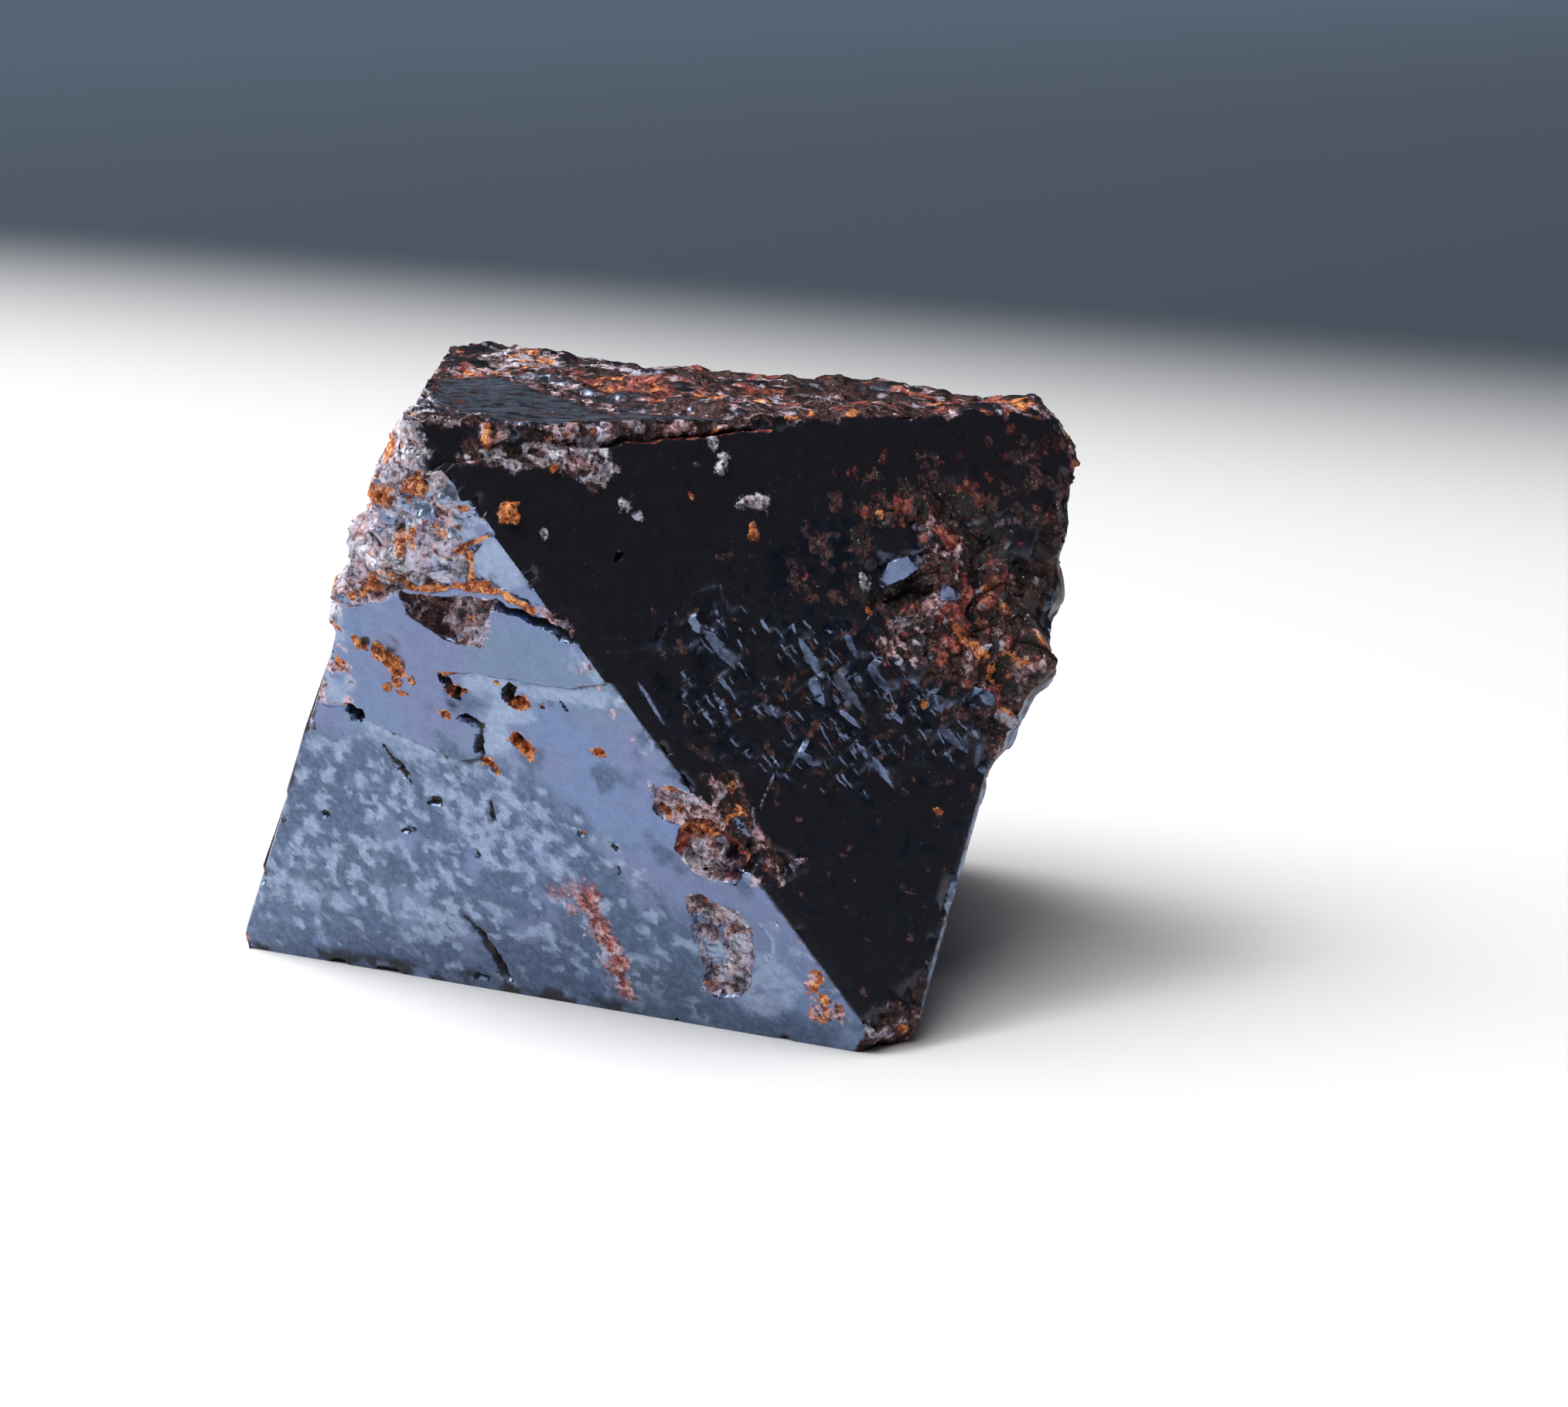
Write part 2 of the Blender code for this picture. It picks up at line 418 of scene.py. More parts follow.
leftZones = (
    zone(  # growth layer with a ledge below it and a tongue at its left
        ((-6.5, 9.0), (-4.2, 9.0), (-3.99, 8.58), (-3.1, 8.25), (-2.15, 8.0), (-1.33, 7.74), (-0.8, 7.87),
         (-0.55, 8.4), (-0.4, 8.97), (-1.05, 9.12), (-1.3, 9.8), (-1.1, 10.5), (-0.75, 10.6),
         (0.3, 10.57), (1.2, 10.53), (2.1, 10.52), (3.0, 10.57), (3.96, 10.76), (6, 10.9), (6, 19),
         (-6.5, 19)),
        edge=0.13, lift=0.14,
    ),
    zone(  # crusted corner
        ((-6.5, 12.2), (-3.9, 12.57), (-3.3, 12.49), (-1.76, 13.03), (-1.03, 13.4), (0.24, 13.6),
         (0.62, 14.18), (0.48, 14.57), (0.73, 14.82), (1.3, 15.5), (0.72, 15.94), (0.31, 16.67),
         (0.2, 19), (-6.5, 19)),
        edge=0.2, lift=0.1, calm=0.7, bumps=((1.3, 0.16), (0.5, 0.16), (0.2, 0.04)),
        grains=((0.5, 0.12), (0.2, 0.03)),
        clay=(0.8, 0.9), haze=(0.5, 0.3), blush=(0.45, 0.36), red=(0.3, 0.05), rust=(0.5, 0.17),
        brown=(0.3, 0.08),
    ),
    zone(  # lilac plates among the crust
        lilacPlates,
        edge=0.2, haze=(0.4, 0.6), blush=(0.4, 0.4),
    ),
    zone(
        ((-1.1, 15.9), (-0.9, 15.2), (-0.2, 15.5), (-0.4, 16.1)),
        edge=0.2, haze=(0.4, 0.9),
    ),
    zone(  # bright knob on the upper corner
        ((0.2, 16.9), (0.28, 16.2), (0.11, 15.88), (0.53, 15.5), (0.95, 16.0), (1.0, 17.0)),
        edge=0.2, lift=0.18, bumps=((0.4, 0.1), (0.2, 0.04)), haze=(0.5, 0.9), clay=(0.3, 0.5),
    ),
    zone(  # smooth strip along the sharp edge, above the slot
        ((0.79, 14.39), (1.32, 14.9), (2.6, 15.0), (4.0, 12.6), (2.9, 12.6), (2.42, 12.95), (2.0, 12.95),
         (1.57, 13.14), (1.01, 13.54), (0.65, 13.8)),
        edge=0.1, lift=0.08, haze=(1.0, 0.35),
    ),
    zone(  # broken cavity, brown at its left, with a pink granular fill at its right
        ((-1.77, 12.97), (-1.16, 12.95), (-0.46, 12.85), (0.29, 12.9), (0.91, 12.89), (0.5, 12.2),
         (0.31, 11.89), (0.06, 11.62), (-0.32, 11.58), (-0.93, 11.87), (-1.54, 12.4)),
        edge=0.16, lift=-0.4, bumps=((0.5, 0.08),), grains=((0.3, 0.06),),
        brown=(0.6, 0.9), blush=(0.3, 0.15),
    ),
    zone(
        ((-0.35, 12.8), (0.8, 12.85), (0.55, 12.2), (0.2, 11.6), (-0.35, 11.6), (-0.6, 12.1)),
        edge=0.3, lift=0.26, bumps=((0.3, 0.06),), grains=((0.22, 0.06),),
        blush=(0.5, 1.2), clay=(0.3, 0.25), rust=(0.3, 0.08),
    ),
    zone(  # crumbs where the slot meets the sharp edge
        ((2.3, 12.9), (2.8, 12.75), (3.5, 12.4), (3.5, 11.8), (3.1, 11.9), (2.7, 12.3)),
        edge=0.12, bumps=((0.3, 0.06),), grains=((0.2, 0.04),),
        haze=(0.4, 0.5), blush=(0.3, 0.5), red=(0.3, 0.3),
    ),
    zone(  # pale left margin
        ((-6.0, 9.2), (-4.6, 9.3), (-4.2, 10.4), (-4.1, 11.6), (-3.8, 12.4), (-5.5, 12.4)),
        edge=0.3, haze=(0.5, 0.5), blush=(0.4, 0.3), rust=(0.3, 0.1),
    ),
    zone(  # rim cavities along the sharp edge
        ((4.5, 7.0), (4.7, 7.6), (5.1, 7.75), (5.7, 7.55), (6.3, 7.1), (6.5, 6.7), (5.5, 6.6),
         (4.7, 6.8)),
        edge=0.14, lift=-0.24, bumps=((0.3, 0.1),), grains=((0.22, 0.05),),
        brown=(0.4, 0.6), blush=(0.35, 0.9), clay=(0.25, 0.4), rust=(0.3, 0.08),
    ),
    zone(
        ((4.95, 5.8), (5.15, 6.4), (5.6, 6.75), (6.3, 6.6), (7.0, 6.1), (6.9, 5.6), (6.5, 5.0),
         (5.94, 5.0), (5.4, 5.3)),
        edge=0.14, lift=-0.4, bumps=((0.35, 0.14),), grains=((0.3, 0.08), (0.15, 0.03)),
        brown=(0.4, 1.3), red=(0.4, 0.9), rust=(0.4, 0.12),
    ),
    zone(
        ((5.15, 5.5), (5.4, 6.0), (6.0, 6.0), (6.35, 5.5), (6.0, 5.05), (5.5, 5.15)),
        edge=0.25, lift=0.22, grains=((0.2, 0.06),), clay=(0.4, 1.4), blush=(0.25, 0.2),
    ),
    zone(
        ((4.9, 4.25), (5.4, 4.4), (5.9, 4.15), (6.4, 4.05), (6.7, 3.6), (6.6, 3.1), (6.65, 2.6),
         (6.4, 2.1), (6.3, 1.7), (5.9, 1.25), (5.3, 1.1), (4.9, 1.3), (5.05, 1.8), (4.9, 2.5),
         (4.9, 3.3)),
        edge=0.14, lift=-0.24, bumps=((0.4, 0.07),), grains=((0.28, 0.05),),
        brown=(0.4, 0.4), blush=(0.4, 1.0), clay=(0.3, 0.45), rust=(0.25, 0.05),
    ),
    zone(  # orange patch by the lower corner
        ((8.1, 2.0), (8.5, 2.5), (9.0, 1.9), (9.0, 1.0), (8.6, 0.7), (8.1, 0.8)),
        edge=0.3, bumps=((0.3, 0.04),), grains=((0.2, 0.03),), blush=(0.3, 0.4), rust=(0.3, 0.45),
    ),
    zone(  # pale bands below the ledge and round the tongue
        ((-0.67, 10.43), (0.3, 10.51), (1.2, 10.38), (2.1, 10.37), (3.0, 10.45), (3.8, 10.45),
         (3.6, 10.1), (2.6, 10.05), (1.5, 10.05), (1.0, 9.65), (0.2, 9.65), (-0.6, 9.8), (-0.8, 10.1)),
        edge=0.14, haze=(0.7, 0.9),
    ),
    zone(
        ((0.2, 9.55), (1.04, 9.8), (1.3, 9.37), (0.23, 9.0), (0.41, 8.46), (0.3, 7.6), (-0.65, 7.4),
         (-0.64, 7.95), (-0.36, 8.48), (-0.38, 9.03)),
        edge=0.14, haze=(0.7, 0.95),
    ),
    zone(
        ((-4.36, 8.65), (-4.0, 8.45), (-3.0, 8.14), (-1.9, 7.85), (-1.3, 7.62), (-0.6, 7.6), (0.3, 7.3),
         (0.9, 6.2), (0.3, 6.1), (-0.2, 6.7), (-1.4, 7.0), (-2.6, 7.0), (-3.7, 7.0), (-3.75, 7.54),
         (-4.1, 8.0)),
        edge=0.16, haze=(0.6, 0.85),
    ),
    zone(
        ((-9.9, 2.15), (-9.3, 2.75), (-7.6, 2.75), (-6.9, 2.5), (-7.4, 2.2), (-9.0, 2.1)),
        edge=0.35, haze=(2.0, 1.0),
    ),
    zone(
        ((6.4, 2.4), (7.3, 2.7), (7.8, 1.9), (7.0, 0.8), (5.6, 0.8), (6.3, 1.6)),
        edge=0.4, haze=(0.4, 0.8),
    ),
    zone(  # strip beside the sharp edge
        ((2.7, 11.6), (4.0, 11.6), (10.2, 0.8), (9.1, 0.8)),
        edge=0.3, haze=(0.4, 0.18), blush=(0.2, 0.06),
    ),
    zone(  # thin mottling over the middle
        ((-4.0, 7.6), (-0.5, 10.0), (4.0, 10.2), (9.4, 1.2), (6.0, 2.6), (1.2, 7.2)),
        edge=1.0, dusk=(0.8, 0.24),
    ),
    zone(  # mottled lower half, darkened partly with painted shade
        ((-9.8, 5.6), (-6, 7.6), (-3.4, 7.6), (0.4, 7.3), (3.2, 4.9), (5.4, 2.6), (5.2, 0.4), (-3.5, 0.4),
         (-11.2, 0.6)),
        edge=1.2, dusk=(0.9, 0.8), haze=(0.3, 0.27),
    ),
    zone(
        ((-2.4, 6.6), (-0.4, 6.6), (1.0, 5.2), (1.2, 3.8), (-0.6, 3.9), (-1.8, 5.0)),
        edge=0.8, haze=(0.3, 0.42),
    ),
    zone(  # painted shade: the foot is darker, as it mirrors the shaded floor near the ground
        ((-11, -1), (11, -1), (11, 0.7), (-11, 1.1)),
        edge=0.8, dusk=(0.9, 0.75),
    ),
    # painted shade, darkest along the very foot
    zone(
        ((-11.5, -1), (4, -1), (2, 0.05), (-4, 0.3), (-11.5, 0.1)),
        edge=0.7, umber=(0.5, 0.42),
    ),
)

leftFace = {
    "wobble": ((1.1, 0.05), (0.35, 0.05)),
    "zones": leftZones,
    "calm": (lilacPlates,),
    # place, half sizes, turn, depth and marks
    "pits": (
        ((-1.2, 10.15), (0.12, 0.42), 0.35, 0.35, {"deep": 1.0, "rust": 0.4}),
        ((-1.0, 9.95), (0.2, 0.14), 0.0, 0.2, {"rust": 0.7}),
        ((0.70, 9.98), (0.16, 0.32), -0.2, 0.40, {"deep": 1.0}),
        ((0.95, 9.82), (0.22, 0.14), 0.2, 0.30, {"rust": 0.8}),
        ((-4.59, 8.89), (0.30, 0.20), -0.4, 0.45, {"deep": 1.0}),
        ((-4.66, 9.10), (0.13, 0.08), 0.0, 0.1, {"rust": 1.0}),
        ((0.62, 8.60), (0.20, 0.16), -0.5, 0.40, {"deep": 0.7, "rust": 0.8}),
        ((0.88, 8.42), (0.20, 0.30), 0.5, 0.20, {"rust": 1.0}),
        ((-0.46, 7.72), (0.24, 0.13), -0.7, 0.25, {"rust": 1.0}),
        ((3.11, 8.59), (0.14, 0.10), -0.4, 0.18, {"rust": 1.0, "deep": 0.3}),
        ((1.62, 9.80), (0.07, 0.05), 0.0, 0.1, {"rust": 0.8}),
        ((2.35, 9.85), (0.04, 0.20), 0.5, 0.10, {"deep": 0.6}),
        ((-1.43, 9.19), (0.16, 0.11), 0.0, 0.12, {"rust": 1.0}),
        ((-0.72, 9.07), (0.36, 0.07), -0.25, 0.2, {"deep": 1.0}),
        ((-0.60, 8.30), (0.10, 0.32), -0.15, 0.2, {"deep": 0.9}),
        ((-3.4, 7.2), (0.10, 0.34), 0.6, 0.15, {"deep": 0.8}),
        ((-2.64, 6.2), (0.22, 0.12), 0.4, 0.14, {"deep": 0.9}),
        ((-0.81, 6.1), (0.08, 0.30), -0.1, 0.16, {"deep": 0.9}),
        ((-1.65, 4.67), (0.14, 0.09), -0.6, 0.12, {"deep": 0.8}),
        ((-3.72, 5.15), (0.34, 0.08), 0.1, 0.12, {"deep": 0.8}),
        ((6.40, 5.75), (0.16, 0.26), 0.3, 0.45, {"deep": 1.0}),
        ((2.02, 5.85), (0.12, 0.09), 0.3, 0.12, {"rust": 0.8}),
        ((2.95, 5.55), (0.08, 0.08), 0.0, 0.12, {"deep": 0.8}),
        ((2.87, 4.88), (0.08, 0.12), 0.2, 0.12, {"deep": 0.8}),
        ((-6.6, 5.3), (0.16, 0.10), 0.0, 0.12, {"deep": 0.7}),
        ((-1.70, 0.85), (0.12, 0.50), 0.35, 0.20, {"deep": 0.9}),
        ((-2.55, 0.45), (0.40, 0.10), -0.1, 0.12, {"deep": 0.7}),
    ),
    # place, half sizes, turn, rise and mark
    "lumps": (
        ((-3.63, 11.18), (0.22, 0.17), 0.0, 0.14, "rust"),
        ((-3.35, 11.30), (0.10, 0.10), 0.0, 0.00, "deep"),
        ((-3.01, 10.97), (0.22, 0.28), 0.6, 0.18, "rust"),
        ((-2.66, 10.62), (0.26, 0.28), 0.6, 0.20, "rust"),
        ((-3.16, 9.90), (0.16, 0.12), 0.0, 0.08, "rust"),
        ((-2.80, 10.10), (0.12, 0.16), 0.0, 0.08, "rust"),
        ((-2.28, 10.15), (0.12, 0.10), 0.0, 0.08, "rust"),
        ((-2.75, 9.75), (0.12, 0.08), -0.5, 0.05, "rust"),
        ((-1.05, 10.52), (0.16, 0.07), 0.0, 0.05, "rust"),
        ((0.42, 10.35), (0.10, 0.08), 0.0, 0.06, "rust"),
        ((0.80, 15.70), (0.14, 0.12), 0.0, 0.10, "rust"),
        ((-1.50, 15.95), (0.28, 0.36), 0.3, 0.05, "rust"),
        ((-0.60, 16.20), (0.34, 0.26), 0.5, 0.08, "rust"),
        ((-1.20, 14.65), (0.16, 0.34), -0.2, 0.06, "rust"),
        ((-2.90, 13.02), (0.26, 0.16), 0.3, 0.06, "rust"),
        ((-2.45, 13.30), (0.12, 0.16), 0.0, 0.06, "rust"),
        ((0.45, 14.53), (0.14, 0.12), 0.0, 0.06, "rust"),
        ((5.10, 7.55), (0.30, 0.12), -0.3, 0.05, "rust"),
        ((4.75, 6.95), (0.08, 0.22), 0.3, 0.00, "rust"),
        ((4.55, 7.65), (0.10, 0.10), 0.0, 0.08, "clay"),
        ((5.95, 4.05), (0.10, 0.08), 0.0, 0.05, "rust"),
        ((-2.63, 1.98), (0.14, 0.09), 0.4, 0.03, "haze"),
        ((-3.38, 0.63), (0.22, 0.09), -0.1, 0.03, "haze"),
        ((-1.53, 1.83), (0.14, 0.08), 0.0, 0.03, "haze"),
        ((2.2, 12.6), (0.12, 0.07), -0.4, 0.0, "deep"),
    ),
    # path, width and depth
    "cracks": (
        (((1.02, 12.83), (1.76, 12.6), (2.25, 12.42), (2.8, 12.2), (3.1, 12.0)), 0.10, 0.32),
        (((-2.53, 2.41), (-2.23, 1.96), (-1.95, 1.5)), 0.05, 0.10),
        (((-2.15, 1.8), (-1.95, 1.35), (-1.8, 0.8)), 0.15, 0.16),
        (((-3.95, 7.85), (-3.6, 7.3), (-3.3, 6.8)), 0.05, 0.10),
    ),
    # path, width, mark, strength and rise
    "veins": (
        (((1.66, 3.59), (1.97, 2.83), (2.18, 1.65), (2.32, 0.85)), 0.36, "red", 0.85, 0.02),
        (((0.6, 3.6), (1.2, 4.0), (1.9, 3.9)), 0.30, "red", 0.45, 0.0),
        (((1.3, 3.6), (1.8, 2.8), (2.1, 1.6), (2.2, 0.9)), 0.6, "blush", 0.38, 0.0),
        (((-1.1, 13.25), (-0.56, 13.32), (0.16, 13.25), (0.99, 13.45)), 0.16, "rust", 0.9, 0.10),
        (((0.9, 13.45), (1.6, 13.2), (2.1, 12.85)), 0.16, "rust", 1.0, 0.12),
        (((0.7, 14.35), (0.55, 14.0), (0.5, 13.6)), 0.12, "rust", 0.8, 0.06),
        (((0.5, 14.6), (0.9, 14.7), (1.25, 14.85)), 0.08, "rust", 0.8, 0.05),
        (((8.3, 2.0), (8.6, 1.5), (8.5, 1.0)), 0.16, "rust", 0.7, 0.04),
        (((7.05, 3.75), (7.35, 3.3), (7.3, 2.75), (7.0, 2.6)), 0.06, "haze", 0.8, 0.04),
        # painted shadow lines along the ledge's lip and round the tongue
        (((-3.95, 8.5), (-3.1, 8.2), (-2.15, 7.95), (-1.33, 7.70), (-0.75, 7.85)), 0.07, "deep", 0.65, 0.0),
        (((-0.72, 7.9), (-0.5, 8.4), (-0.37, 8.97), (-0.9, 9.15)), 0.06, "deep", 0.6, 0.0),
        (
            ((-0.7, 10.58), (0.3, 10.55), (1.2, 10.5), (2.1, 10.48), (3.0, 10.53), (3.9, 10.7)),
            0.04, "deep", 0.5, 0.0,
        ),
        (((-2.2, 1.97), (-1.5, 1.95), (-0.6, 2.15), (0.29, 2.38)), 0.05, "haze", 1.0, 0.02),
    ),
}

rightZones = (
    zone(  # thin dark film over the whole face
        wholeFace,
        edge=0.1, umber=(1.3, 1.3),
    ),
    zone(  # below the smooth upper layer the face is stepped
        ((-8.6, 13.2), (-7.08, 12.66), (-6.78, 12.04), (-6.48, 11.59), (-5.97, 11.55), (-5.5, 11.62),
         (-4.8, 11.69), (-4.28, 12.33), (-3.9, 12.85), (-3.32, 12.98), (-2.7, 13.1), (-2.11, 12.52),
         (-1.34, 12.0), (-0.54, 11.95), (0.9, 11.73), (2.04, 10.3), (3.44, 8.65), (5.2, 7.9), (6.2, 8.6),
         (6, 6), (-1, -2), (-12, 12)),
        edge=0.05, lift=-0.015,
    ),
    zone(
        ((-5.5, 11.4), (-4.2, 12.4), (-2.6, 12.9), (-0.6, 11.9), (1.0, 11.7), (2.2, 9.9), (3.6, 8.4),
         (4.2, 7.6), (2.0, 6.6), (-0.5, 6.6), (-3.0, 6.9), (-5.2, 9.6)),
        edge=0.7, bumps=((0.8, 0.03), (0.25, 0.02)),
        umber=(0.4, 0.9), brown=(0.22, 0.2), dusk=(0.35, 0.32), haze=(0.12, 0.08),
    ),
    zone(  # bluish film left of the rough ground
        ((-1.6, 13.6), (0.0, 14.0), (1.8, 13.9), (2.2, 13.0), (1.6, 12.4), (0.4, 12.2), (-1.4, 12.8)),
        edge=0.6, dusk=(0.5, 0.36), brown=(0.5, 0.1),
    ),
    zone(  # thin brown dust round the rough ground
        ((-0.4, 12.8), (0.2, 14.4), (1.6, 15.4), (4.0, 15.8), (6.0, 15.4), (8.8, 14.6), (9.6, 12.0),
         (8.9, 10.2), (5.6, 7.2), (4.0, 7.0), (2.6, 9.0), (0.6, 11.2)),
        edge=1.4, bumps=((0.6, 0.04),), brown=(0.4, 0.11), red=(0.3, 0.02), dusk=(0.4, 0.14),
    ),
    zone(  # rough brown ground at the upper right
        ((1.6, 12.8), (1.8, 14.2), (2.6, 14.5), (3.6, 14.8), (4.9, 14.9), (5.6, 14.2), (8.3, 13.7),
         (9.2, 12.0), (8.6, 10.57), (5.6, 7.9), (4.8, 7.9), (3.6, 8.8), (2.3, 10.3), (1.6, 11.6)),
        edge=1.3, lift=0.02, calm=0.9, bumps=((1.5, 0.26), (0.7, 0.2), (0.25, 0.04)),
        grains=((0.6, 0.12), (0.24, 0.03)),
        # its deep marks are painted shade among the lumps
        umber=(0.6, 0.9), brown=(0.5, 0.62), red=(0.5, 0.08), deep=(0.5, 0.34),
    ),
    zone(  # reddish run down its middle
        ((3.9, 14.2), (4.6, 14.2), (4.9, 12.6), (4.7, 11.2), (4.0, 9.6), (3.2, 10.6), (3.6, 12.0)),
        edge=0.6, brown=(0.3, 0.9), red=(0.5, 0.34), blush=(0.3, 0.08),
    ),
    zone(  # pink and orange run down the right side
        ((2.9, 12.0), (3.7, 11.9), (4.6, 11.3), (5.6, 12.3), (7.6, 12.1), (7.4, 9.8), (5.5, 8.3),
         (4.7, 8.6), (4.4, 9.8), (3.2, 10.7), (2.6, 11.4)),
        edge=0.6, lift=0.04, calm=0.9,
        brown=(0.4, 0.7), red=(0.4, 0.25), blush=(0.3, 0.14), rust=(0.4, 0.05), deep=(0.4, 0.26),
    ),
    zone(  # pale grains left of the orange run
        ((2.0, 11.4), (2.7, 11.3), (2.8, 10.7), (2.4, 10.4), (1.7, 10.7)),
        edge=0.5, grains=((0.25, 0.05),), clay=(0.25, 0.28), blush=(0.25, 0.28),
    ),
    zone(  # recess above the last layer
        ((-11, 16.75), (-8.9, 16.8), (-5.5, 16.9), (-0.37, 17.0), (0.3, 17.2), (0.3, 19), (-11, 19)),
        edge=0.1, lift=-0.28, bumps=((1.2, 0.05),), brown=(0.6, 0.15),
    ),
    zone(  # broken wall at the back of the recess
        ((-8.9, 17.2), (-7.8, 17.35), (-7.0, 17.2), (-5.6, 17.1), (-1, 17.1), (-1, 19), (-8.9, 19)),
        edge=0.14, lift=0.24, bumps=((0.7, 0.1), (0.3, 0.05)), grains=((0.35, 0.06),),
        brown=(0.5, 1.3), blush=(0.4, 0.4), haze=(0.3, 0.3), rust=(0.3, 0.06),
    ),
    zone(  # clay along the lip of the recess
        ((-9.7, 16.75), (-8.5, 16.62), (-7.4, 16.55), (-5.9, 16.75), (-5.5, 17.1), (-7.0, 17.05),
         (-8.6, 16.98), (-9.7, 17.0)),
        edge=0.2, lift=0.02, bumps=((0.4, 0.05),), grains=((0.24, 0.05),),
        brown=(0.5, 1.3), clay=(0.35, 0.6), blush=(0.25, 0.2),
    ),
    zone(  # clay lump that hangs below the lip
        ((-7.2, 17.0), (-5.7, 17.1), (-5.6, 16.2), (-6.0, 15.9), (-6.5, 16.3), (-7.0, 16.5)),
        edge=0.4, lift=0.05, bumps=((0.4, 0.06),), grains=((0.22, 0.06),),
        brown=(0.4, 0.8), clay=(0.3, 0.6), blush=(0.25, 0.2),
    ),
    zone(  # reddish crumbs by the sharp edge
        ((-4.4, 8.0), (-3.6, 8.0), (-3.2, 6.9), (-2.6, 5.9), (-1.8, 5.3), (-2.6, 5.0), (-3.9, 6.5)),
        edge=0.3, bumps=((0.4, 0.08),), grains=((0.3, 0.06),),
        brown=(0.5, 0.8), blush=(0.25, 0.25), rust=(0.3, 0.1),
    ),
    zone(  # rough lower corner
        ((-1.0, 0.0), (-0.6, 1.3), (0.1, 1.8), (0.8, 1.9), (1.4, 2.3), (2.6, 1.6), (1, -1)),
        edge=0.3, bumps=((0.6, 0.14),), grains=((0.35, 0.06), (0.18, 0.03)),
        brown=(0.6, 0.8), blush=(0.25, 0.16), rust=(0.25, 0.04),
    ),
    zone(  # broken upper right corner
        ((4.5, 15.4), (6.5, 16.0), (8, 17.5), (10.5, 17.5), (9.8, 14.5), (7.0, 14.6)),
        edge=0.6, bumps=((1.2, 0.08),), umber=(0.6, 0.5), brown=(0.4, 0.3), red=(0.3, 0.04),
    ),
    zone(  # brown margin of the upper layer
        ((-4.9, 12.4), (-3.0, 13.8), (-0.5, 13.4), (1.1, 14.2), (1.0, 12.4), (-2.6, 13.1)),
        edge=0.7, brown=(0.3, 0.12),
    ),
    zone(  # dull lower part
        ((-2.6, 7.6), (4.8, 7.0), (0.8, 0.2), (-0.4, 0.2)),
        edge=1.5, umber=(0.6, 1.2), brown=(0.2, 0.03), dusk=(0.5, 0.12),
    ),
)

